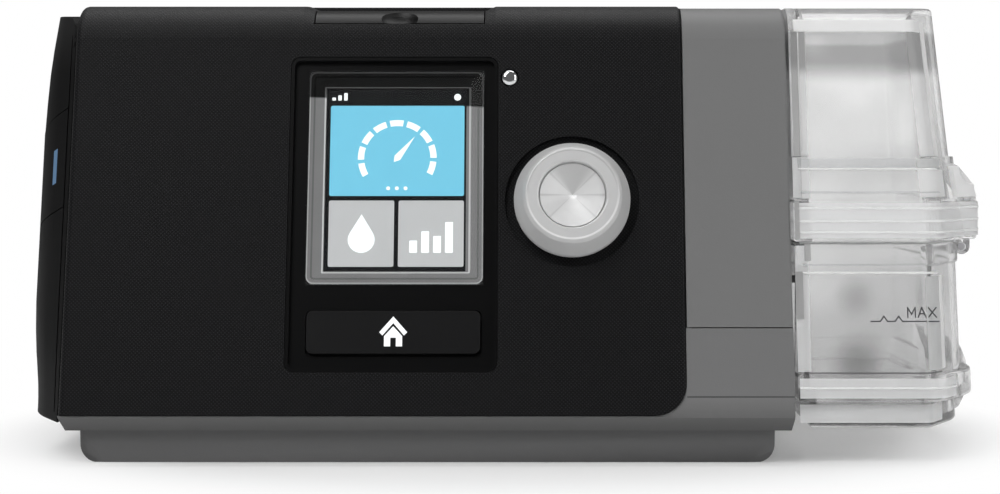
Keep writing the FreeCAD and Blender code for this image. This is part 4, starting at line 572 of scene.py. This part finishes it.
def lens_rings():
    """The grey frame behind the lens, a painted highlight on its bevelled edge and the fine line round the screen, all
    with a painted reflection.
    """
    ends = ((-49.7, 31.9), (-5.4, 87.3))
    lens_ring("lens_backing", *ends, 1.7, (4.3, 3.2, 4.5), 0.05, LENS_BACK - 0.02,
              mirrored("lens_backing", 0.006, 0.19))
    lens_ring("lens_edge", *ends, 1.7, (0.3, 0.3, 0.3), 1.4, LENS_BACK, mirrored("lens_edge", 0.06, 0.4))
    lens_ring("lens_step", (-48.6, 33.0), (-6.5, 86.2), 0.8, (0.45, 0.45, 0.45), 0.4, LENS_BACK,
              mirrored("lens_step", 0.001, 0.13))
    lens_ring("lens_line", (-45.9, 34.6), (-8.6, 83.3), 0.3, (0.4, 0.3, 0.25), 0.1, LENS_BACK,
              mirrored("lens_line", 0.09, 0.52))


lens_rings()


def home_mark():
    """A plain house: a roof with eaves over a body with a door gap."""
    middle, foot, narrow = -27.55, 15.7, (0.87, 1.0)
    roof = np.array([(-4.0, 3.6), (0.0, 7.6), (4.0, 3.6), (3.1, 2.75), (0.0, 5.9), (-3.1, 2.75)])
    walls = np.array([(-2.6, 2.6), (-2.6, 0.0), (-0.8, 0.0), (-0.8, 2.2), (0.8, 2.2), (0.8, 0.0), (2.6, 0.0),
                      (2.6, 2.6), (0.0, 5.1)])
    for name, shape in (("roof", roof), ("walls", walls)):
        face_plate("home_mark_" + name, shape * narrow + (middle, foot), -0.385, 0.03, "home_key",
                   screen_white)


home_mark()


def column_foot():
    """The foot of the grey column: the corner beside the front skin's round, and the panel's two plain grooves."""
    left, edge, low, high, groove = 45.36, 46.5, 2.85, 20.3, 0.27
    round_end = ring_outline((37.3, 6.3), 8.06, (270.0, 360.0), 16)
    face_plate("column_corner", np.vstack([round_end, [(45.64, 6.3), (45.64, -1.87), (37.3, -1.87)]]), -0.5, 0.04,
               "housing", housing_grey)
    for name, box, out, slot, finish in (
            ("edge", (left, 3.1, edge, high), -0.47, "panel_grey", panel_grey),
            ("low", (left, -0.6, 71.8, low), -0.47, "housing_grey", housing_grey),
            ("groove_low", (left, low, 72.0, low + groove), -0.468, "panel_grey", groove_dark),
            ("groove_high", (left, high, edge, high + groove), -0.468, "panel_grey", groove_dark)):
        outline = [(box[0], box[1]), (box[2], box[1]), (box[2], box[3]), (box[0], box[3])]
        face_plate("column_" + name, outline, out, 0.025, "housing", finish)


column_foot()

# ---------------------------------------------------------------- redrawn covers

BULGE_HEIGHTS = [9.0, 13.0, 17.0, 21.0, 25.0, 31.0, 38.0, 80.0, 90.0, 98.0, 104.0, 109.0, 114.0]
BULGE_PULLS = [2.0, 2.0, 1.75, 1.3, 0.8, 0.3, 0.0, 0.0, 0.35, 0.8, 1.4, 2.1, 2.8]
BULGE_CUTS = np.concatenate([np.arange(9.5, 38.5, 1.5), np.arange(80.0, 114.0, 1.5)])
PLINTH_SIDES, PLINTH_ROUND, CORNER_OUT, RIM_DOWN = ((-1.0, -105.4), (1.0, 67.4)), 6.5, 2.3, 0.65
SHARP_EDGE = math.radians(28)


def redrawn(name, node, cuts, move, material):
    """A copy of a CAD node's mesh, cut level at some heights in mm and moved by a rule on its points in mm."""
    form = bmesh.new()
    form.from_mesh(nodes[node].data)
    bmesh.ops.remove_doubles(form, verts=form.verts, dist=0.000002)
    for z in cuts:
        bmesh.ops.bisect_plane(form, geom=form.verts[:] + form.edges[:] + form.faces[:], dist=0.000001,
                               plane_co=(0, 0, z * MM), plane_no=(0, 0, 1))
    mesh = bpy.data.meshes.new(name)
    form.to_mesh(mesh)
    form.free()
    spots = np.empty(len(mesh.vertices) * 3)
    mesh.vertices.foreach_get("co", spots)
    mesh.vertices.foreach_set("co", (move(spots.reshape(-1, 3) / MM) * MM).ravel())
    mesh.polygons.foreach_set("use_smooth", np.full(len(mesh.polygons), True))
    mesh.set_sharp_from_angle(angle=SHARP_EDGE)
    mesh.materials.clear()
    mesh.materials.append(material)
    mesh.update()
    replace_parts(place_piece(name, mesh, "housing"), node)


def draw_in_bulge(spots):
    """The cover's bulge drawn in toward its foot and its shoulder.

    x' = x + s g(z), with s = clamp((-111 - x) / 13, 0, 1), and g in mm run through BULGE_HEIGHTS and BULGE_PULLS.
    """
    share = np.clip((-111.0 - spots[:, 0]) / 13.0, 0.0, 1.0)
    spots[:, 0] += share * np.interp(spots[:, 2], BULGE_HEIGHTS, BULGE_PULLS)
    return spots


def square_corners(spots):
    """The plinth's low corners made squarer, and its rim let down to just above the floor.

    With a the angle about a corner's centre and d = CORNER_OUT, dx = d (1 - cos a) outward, dz = -d (1 - sin a).
    """
    for side, edge in PLINTH_SIDES:
        out, down = side * (spots[:, 0] - edge) + PLINTH_ROUND, PLINTH_ROUND + 0.8 - spots[:, 2]
        turn = np.arctan2(np.maximum(down, 0.0), np.maximum(out, 0.0))
        near = (out > 0.0) & (down > 0.0)
        spots[:, 0] += np.where(near, side * CORNER_OUT * (1.0 - np.cos(turn)), 0.0)
        spots[:, 2] -= np.where(near, CORNER_OUT * (1.0 - np.sin(turn)), 0.0)
    spots[:, 2] -= np.interp(spots[:, 2], [0.8, 6.0], [RIM_DOWN, 0.0])
    return spots


redrawn("drawn_in_cover", "left_side_cover", BULGE_CUTS, draw_in_bulge, cover_black)
redrawn("squared_plinth", "base_plinth", [], square_corners, plinth_grey)

# ---------------------------------------------------------------- water level marks

MARK_OUT = -1.66
MARK_LINE = 0.32


def stroke(name, start, end):
    """A printed bar on the front of the tub, from one point (across, up) to another."""
    start, end = np.array(start, float), np.array(end, float)
    along = (end - start) / np.linalg.norm(end - start)
    side = np.array([-along[1], along[0]]) * MARK_LINE / 2
    ends = along * MARK_LINE / 2
    face_plate("level_" + name, [start - ends - side, end + ends - side, end + ends + side, start - ends + side],
               MARK_OUT, 0.03, "tub", print_dark)


def level_marks():
    """The line of the highest water level, with two small waves, and the usual short word above its end."""
    level, left, right = 22.3, 91.7, 108.6
    waves = [(94.0, 0.0), (94.9, 1.3), (95.8, 0.0), (97.7, 0.0), (98.6, 1.3), (99.5, 0.0)]
    line = [(left, level)] + [(across, level + rise) for across, rise in waves] + [(right, level)]
    for order, (start, end) in enumerate(zip(line, line[1:])):
        stroke("line_%d" % order, start, end)
    letters = (
        ("m", 100.9, [(0, 0), (0, 1), (0.5, 0.3), (1, 1), (1, 0)]),
        ("a", 103.5, [(0, 0), (0.5, 1), (1, 0)]), ("a_bar", 103.5, [(0.2, 0.35), (0.8, 0.35)]),
        ("x", 106.1, [(0, 0), (1, 1)]), ("x_back", 106.1, [(0, 1), (1, 0)]))
    wide, tall, foot = 1.9, 2.4, level + 1.1
    for name, across, path in letters:
        spots = [(across + x * wide, foot + y * tall) for x, y in path]
        for order, (start, end) in enumerate(zip(spots, spots[1:])):
            stroke("%s_%d" % (name, order), start, end)


level_marks()

# ---------------------------------------------------------------- tub mouldings

TUB_LEFT, TUB_SHOULDER, TUB_FLARE, TUB_TAIL = 72.9, 109.5, math.radians(61), math.radians(92)
FRONT_ROUND, TAIL_ROUND = 6.0, 30.0
LID_PIVOT = 65.2
WING_CENTRE, WING_ROUND, BOX_RIGHT = (112.5, -34.5), 11.5, 123.97
LID_SET, STEP_SET, LID_DRAFT, BASE_NARROW = 2.4, 1.2, 4.0, 1.9


def arc_stations(centre, radius, start, stop, count):
    """Stations (x, depth, normal x, normal depth) on an arc: centre + radius n, n = (cos a, sin a)."""
    angles = np.linspace(start, stop, count)
    normals = np.column_stack([np.cos(angles), np.sin(angles)])
    return np.hstack([np.asarray(centre) + radius * normals, normals])


def tub_stations(start, stop, narrow=0.0, every=100.0):
    """Stations along the tub's outline seen from above, between two lengths run from its front left corner.

    The front is straight, a 6 mm round leads to a flank 29 degrees off the depth, a 30 mm round to the tail.
    """
    shoulder = TUB_SHOULDER - narrow - FRONT_ROUND * math.tan(TUB_FLARE / 2)
    front = np.array([[TUB_LEFT, 0.3, 0.0, -1.0], [shoulder, 0.3, 0.0, -1.0]])
    first = arc_stations((shoulder, FRONT_ROUND + 0.3), FRONT_ROUND, -math.pi / 2, TUB_FLARE - math.pi / 2, 10)
    corner = np.array([TUB_SHOULDER - narrow + 21.7 / math.tan(TUB_FLARE), 22.0])
    reach = TAIL_ROUND * math.tan((TUB_TAIL - TUB_FLARE) / 2)
    begin = corner - reach * np.array([math.cos(TUB_FLARE), math.sin(TUB_FLARE)])
    centre = begin + TAIL_ROUND * np.array([-math.sin(TUB_FLARE), math.cos(TUB_FLARE)])
    second = arc_stations(centre, TAIL_ROUND, TUB_FLARE - math.pi / 2, TUB_TAIL - math.pi / 2, 14)
    tail = second[-1] + np.array([math.cos(TUB_TAIL), math.sin(TUB_TAIL), 0.0, 0.0]) * 70.0
    knots = np.vstack([front, first[1:], second, tail])
    run = np.concatenate([[0.0], np.cumsum(np.linalg.norm(np.diff(knots[:, :2], axis=0), axis=1))])
    at = np.unique(np.concatenate([np.arange(start, stop, every), [stop], run[(run > start) & (run < stop)]]))
    return np.column_stack([np.interp(at, run, knots[:, column]) for column in range(4)])


def on_tub(stations, offset, z, draft):
    """Row frame points in mm of stations pushed out by an offset at a height; the draft tips them to the left.

    y = face_y + (z - face_z) tan(lean) + depth / cos(lean); x falls by tan(draft) for each mm along the face.
    """
    x, depth = stations[:, 0] + stations[:, 2] * offset, stations[:, 1] + stations[:, 3] * offset
    x = x - (z - LID_PIVOT + depth * math.sin(LEAN)) / math.cos(LEAN) * math.tan(math.radians(draft))
    y = FACE_Y + (z - FACE_Z) * math.tan(LEAN) + depth / math.cos(LEAN)
    return np.column_stack([x, y, np.full(len(x), z)])


def sweep(name, rows, body, material):
    """A closed bar through rows of points, one row for each corner of its section, with its two ends shut."""
    rows = np.asarray(rows)
    corners, count = rows.shape[:2]
    faces = [[(c + 1) % corners * count + s, (c + 1) % corners * count + s + 1, c * count + s + 1, c * count + s]
             for c in range(corners) for s in range(count - 1)]
    faces += [[c * count for c in range(corners)], [c * count + count - 1 for c in reversed(range(corners))]]
    mesh_piece(name, rows.reshape(-1, 3) * MM, faces, body, material)


def film(name, run, heights, inset, body, material, draft=0.0, narrow=0.0):
    """A thin moulded band on the tub's skin, from one height to another."""
    thick = 0.25
    stations = tub_stations(run[0], run[1], narrow)
    low, high = heights
    section = [(0.03, low), (0.03, high), (thick * 0.6, high), (thick, high - thick), (thick, low + thick),
               (thick * 0.6, low)]
    sweep(name, [on_tub(stations, offset - inset, z, draft) for offset, z in section], body, material)


def rib(name, run, height, inset, body, material, draft=0.0, narrow=0.0, size=0.3):
    """A half round rib along the tub's skin at one height."""
    stations = tub_stations(run[0], run[1], narrow)
    section = [(0.03 + size * math.sin(turn), height - size * math.cos(turn))
               for turn in np.linspace(math.pi, 0.0, 7)]
    sweep(name, [on_tub(stations, offset - inset, z, draft) for offset, z in section], body, material)


def wing_row(z, offset):
    """Points round the lid's flange and on to its wing at a height: front, flank, then the wing's rounded corner."""
    flank = tub_stations(0.0, 75.0, every=1.0)
    points = on_tub(flank, offset, z, 0.0)[:, :2]
    centre, radius = np.array(WING_CENTRE), WING_ROUND + offset
    inside = np.nonzero((points[:, 0] > centre[0]) & (np.linalg.norm(points - centre, axis=1) < radius))[0]
    step = inside[0]
    before, along = points[step - 1], points[step] - points[step - 1]
    gap = before - centre
    a, b, c = along @ along, 2 * gap @ along, gap @ gap - radius ** 2
    share = (-b - math.sqrt(b * b - 4 * a * c)) / (2 * a)
    meet = before + along * share
    turn = math.atan2(meet[1] - centre[1], meet[0] - centre[0])
    angles = np.linspace(turn, math.radians(-10), 24)
    wing = centre + radius * np.column_stack([np.cos(angles), np.sin(angles)])
    front = np.vstack([points[:step], meet])
    run = np.concatenate([[0.0], np.cumsum(np.linalg.norm(np.diff(front, axis=0), axis=1))])
    at = np.concatenate([np.linspace(0.0, run[-1] * 0.6, 6), np.linspace(run[-1] * 0.6, run[-1], 25)[1:]])
    front = np.column_stack([np.interp(at, run, front[:, column]) for column in range(2)])
    row = np.vstack([front, wing[1:]])
    tip = np.interp(z, [62.2, 68.7, 74.2], [124.0, 121.8, 116.5]) + offset - 0.1
    row[:, 0] = np.minimum(row[:, 0], min(tip, BOX_RIGHT))
    return np.column_stack([row, np.full(len(row), z)])


def frame_bar(name, across, heights, out, body, material):
    """An upright bar on a flat front, between two X values and two heights."""
    ups = [(z - FACE_Z - out * math.sin(LEAN)) / math.cos(LEAN) for z in heights]
    face_plate(name, [(across[0], ups[0]), (across[1], ups[0]), (across[1], ups[1]), (across[0], ups[1])],
               out + 0.25, 0.2, body, material)


def side_plate():
    """The lid's thin left wall beside the housing: a plate whose outline follows the sloping front and the brow."""
    turn = np.radians(np.linspace(164, 96, 12))
    brow = [(-34.2 + 11.2 * math.cos(a), 103.6 + 11.2 * math.sin(a)) for a in turn]
    outline = np.array([(-58.1, 66.0)] + brow + [(16.0, 115.0), (39.4, 113.2), (39.4, 66.0)])
    low, high = 73.15, 75.2
    points = np.vstack([np.column_stack([np.full(len(outline), x), outline]) for x in (low, high)])
    mesh_piece("lid_side_plate", points * MM, slab_faces(len(outline)), "lid", tub_clear)


def tub_mouldings():
    """The milky bands, frames and ribs that stiffen the clear tub, and the films over its front rounds."""
    section = [(0.03, 55.5), (0.03, 64.4), (0.2, 64.4), (0.3, 64.0), (0.3, 55.9), (0.2, 55.5)]
    sweep("flange_band", [wing_row(z, offset) for offset, z in section], "lid", tub_milky)
    for order, height in enumerate((57.0, 59.8, 63.0)):
        section = [(0.28 + 0.12 * math.sin(turn), height - 0.35 * math.cos(turn))
                   for turn in np.linspace(math.pi, 0.0, 7)]
        sweep("flange_rib_%d" % order, [wing_row(z, offset) for offset, z in section], "lid", tub_white)
    film("brow_band", (4.8, 43.4), (108.2, 111.4), LID_SET, "lid", tub_white, LID_DRAFT)
    for order, (across, material) in enumerate((((73.1, 73.6), tub_milky), ((73.65, 75.3), tub_rail),
                                                ((75.35, 75.6), tub_white), ((75.65, 77.3), tub_pane))):
        frame_bar("lid_frame_%d" % order, across, (76.0, 108.4), -2.9, "lid", material)
    frame_bar("base_frame", (73.1, 76.4), (22.6, 53.6), -1.75, "tub", tub_milky)
    frame_bar("shoulder_frame", (73.1, 75.2), (65.4, 75.8), -1.75, "lid", tub_milky)
    frame_bar("shoulder_pane", (75.25, 77.3), (65.4, 75.8), -1.75, "lid", tub_pane)
    side_plate()
    film("lid_round", (34.0, 43.4), (76.0, 108.1), LID_SET, "lid", tub_pane, LID_DRAFT)
    film("lid_corner", (43.5, 47.0), (76.0, 111.2), LID_SET, "lid", tub_white, LID_DRAFT)
    film("lid_step_round", (32.4, 43.4), (73.1, 75.6), STEP_SET, "lid", tub_mist, LID_DRAFT)
    film("lid_foot_round", (32.4, 45.2), (65.8, 72.7), STEP_SET, "lid", tub_pane, LID_DRAFT)
    film("base_round", (33.1, 40.3), (23.0, 46.0), STEP_SET, "tub", tub_mist, narrow=BASE_NARROW)
    film("base_corner", (40.4, 42.8), (23.0, 46.0), STEP_SET, "tub", tub_pale, narrow=BASE_NARROW)
    section = [(0.03, 65.6), (0.03, 68.7), (0.03, 73.6), (0.25, 73.6), (0.25, 68.7), (0.25, 65.6)]
    sweep("wing_sheet", [wing_row(z, offset)[-28:] for offset, z in section], "lid", tub_pale)
    for order, (across, heights, out, body) in enumerate((((73.1, 74.3), (55.2, 64.8), 0.1, "lid"),
                                                          ((75.5, 77.1), (49.8, 54.4), -1.6, "tub"),
                                                          ((73.0, 74.9), (35.6, 47.2), -1.4, "tub"))):
        frame_bar("rail_%d" % order, across, heights, out, body, tub_rail)
    film("lid_step", (2.2, 32.3), (73.1, 75.6), STEP_SET, "lid", tub_shade, LID_DRAFT)
    rib("lid_step_rib", (2.2, 40.6), 72.9, STEP_SET, "lid", tub_white, LID_DRAFT)
    rib("lid_foot_rib", (2.2, 40.8), 67.0, STEP_SET, "lid", tub_shade, LID_DRAFT)
    rib("base_rim_rib", (2.0, 40.2), 48.9, 0.6, "tub", tub_shade, narrow=BASE_NARROW)
    rib("base_top_rib", (2.0, 40.2), 46.9, STEP_SET, "tub", tub_white, narrow=BASE_NARROW)
    rib("base_foot_rib", (2.0, 40.2), 22.4, STEP_SET, "tub", tub_dark, narrow=BASE_NARROW, size=0.15)
    film("skirt_band", (0.4, 44.0), (16.4, 21.2), 0.0, "tub", tub_milky, narrow=0.475)
    rib("skirt_rib", (0.4, 44.0), 18.8, -0.2, "tub", tub_white, narrow=0.475)
    film("pan_band", (0.6, 44.0), (10.2, 14.6), 3.0, "tub", tub_milky, narrow=BASE_NARROW)


tub_mouldings()

# ---------------------------------------------------------------- camera, light and floor

CAMERA_AT = Vector((0.0065, -0.62594, 0.078))
CAMERA_PITCH = math.radians(2.5)
SENSOR_WIDTH, LENS_PER_WIDTH = 36.0, 2.247


def camera():
    """The fixed camera before the machine."""
    lens = bpy.data.cameras.new("camera")
    lens.sensor_width = SENSOR_WIDTH
    lens.lens = SENSOR_WIDTH * LENS_PER_WIDTH
    lens.shift_x = -0.03
    lens.clip_start = 0.01
    eye = bpy.data.objects.new("camera", lens)
    eye.location = CAMERA_AT
    eye.rotation_euler = (math.pi / 2 - CAMERA_PITCH, 0.0, 0.0)
    bpy.context.scene.collection.objects.link(eye)
    bpy.context.scene.camera = eye


LAMP_AIM = (0, 0, 0.05)


def lamp(name, at, size, power):
    """A soft lamp aimed at the machine."""
    light = bpy.data.lights.new(name, "AREA")
    light.shape = "RECTANGLE"
    light.size, light.size_y = size
    light.energy = power
    stand = bpy.data.objects.new(name, light)
    stand.location = at
    stand.rotation_euler = (Vector(LAMP_AIM) - Vector(at)).to_track_quat("-Z", "Y").to_euler()
    bpy.context.scene.collection.objects.link(stand)


def studio_world():
    """White to the eye, soft grey patches through clear parts, a pale floor-to-dark-ceiling run to gloss."""
    world = bpy.data.worlds.new("studio")
    world.use_nodes = True
    bpy.context.scene.world = world
    tree = world.node_tree
    tree.nodes.clear()
    leave = tree.nodes.new("ShaderNodeOutputWorld")
    path = tree.nodes.new("ShaderNodeLightPath")
    soft, white, mix = (tree.nodes.new("ShaderNodeBackground"), tree.nodes.new("ShaderNodeBackground"),
                        tree.nodes.new("ShaderNodeMixShader"))
    place, split = tree.nodes.new("ShaderNodeTexCoord"), tree.nodes.new("ShaderNodeSeparateXYZ")
    ramp = tree.nodes.new("ShaderNodeValToRGB")
    for spot, (where, grey) in zip(ramp.color_ramp.elements, ((0.42, 0.55), (0.62, 0.12))):
        spot.position = where
        spot.color = (grey, grey, grey, 1.0)
    height = math_node(tree, "MULTIPLY_ADD", split.outputs["Z"], 0.5, 0.5)
    link(tree, place.outputs["Generated"], split.inputs["Vector"])
    link(tree, height, ramp.inputs["Fac"])
    link(tree, ramp.outputs["Color"], soft.inputs["Color"])
    seen = math_node(tree, "MAXIMUM", path.outputs["Is Camera Ray"], path.outputs["Is Transmission Ray"])
    link(tree, seen, mix.inputs["Fac"])
    link(tree, soft.outputs["Background"], mix.inputs[1])
    link(tree, white.outputs["Background"], mix.inputs[2])
    clouds = tree.nodes.new("ShaderNodeTexNoise")
    clouds.inputs["Scale"].default_value = 2.6
    clouds.inputs["Detail"].default_value = 0.0
    link(tree, place.outputs["Generated"], clouds.inputs["Vector"])
    tone = map_range(tree, clouds.outputs["Fac"], (0.35, 0.6), (0.66, 1.0))
    link(tree, math_node(tree, "MAXIMUM", path.outputs["Is Camera Ray"], tone), white.inputs["Color"])
    link(tree, mix.outputs["Shader"], leave.inputs["Surface"])


FLOOR_REACH = 6.0
SHADOW_ACROSS, SHADOW_DEEP = 0.135, 0.13


def floor():
    """A pale floor that keeps the machine's shadow and runs out into white away from it."""
    material, tree = new_material("floor_white")
    leave = tree.nodes.new("ShaderNodeOutputMaterial")
    cloth, glow, mix = (tree.nodes.new("ShaderNodeBsdfDiffuse"), tree.nodes.new("ShaderNodeEmission"),
                        tree.nodes.new("ShaderNodeMixShader"))
    cloth.inputs["Color"].default_value = (0.93, 0.93, 0.93, 1.0)
    glow.inputs["Color"].default_value = (1.0, 1.0, 1.0, 1.0)
    place, length = tree.nodes.new("ShaderNodeTexCoord"), tree.nodes.new("ShaderNodeVectorMath")
    length.operation = "LENGTH"
    spread = tree.nodes.new("ShaderNodeVectorMath")
    spread.operation = "MULTIPLY"
    spread.inputs[1].default_value = (1 / SHADOW_ACROSS, 1 / SHADOW_DEEP, 0.0)
    link(tree, place.outputs["Object"], spread.inputs[0])
    link(tree, spread.outputs["Vector"], length.inputs[0])
    far = map_range(tree, length.outputs["Value"], (0.75, 1.14), (0.2, 1.0))
    path = tree.nodes.new("ShaderNodeLightPath")
    seen = math_node(tree, "MAXIMUM", path.outputs["Is Camera Ray"], path.outputs["Is Transmission Ray"])
    link(tree, math_node(tree, "MULTIPLY", far, seen), mix.inputs["Fac"])
    link(tree, cloth.outputs["BSDF"], mix.inputs[1])
    link(tree, glow.outputs["Emission"], mix.inputs[2])
    link(tree, mix.outputs["Shader"], leave.inputs["Surface"])
    mesh = bpy.data.meshes.new("floor")
    corners = [(x * FLOOR_REACH, y * FLOOR_REACH, 0) for x, y in ((-1, -1), (1, -1), (1, 1), (-1, 1))]
    mesh.from_pydata(corners, [], [(0, 1, 2, 3)])
    mesh.materials.append(material)
    ground = bpy.data.objects.new("floor", mesh)
    bpy.context.scene.collection.objects.link(ground)


camera()
studio_world()
floor()
lamp("key_lamp", (-0.9, -1.2, 1.9), (1.3, 1.3), 26.0)
lamp("fill_lamp", (1.5, -1.1, 0.9), (1.0, 1.4), 10.0)
lamp("top_lamp", (0.1, 0.5, 1.8), (1.6, 1.2), 16.0)
bpy.context.scene.view_settings.view_transform = "Standard"
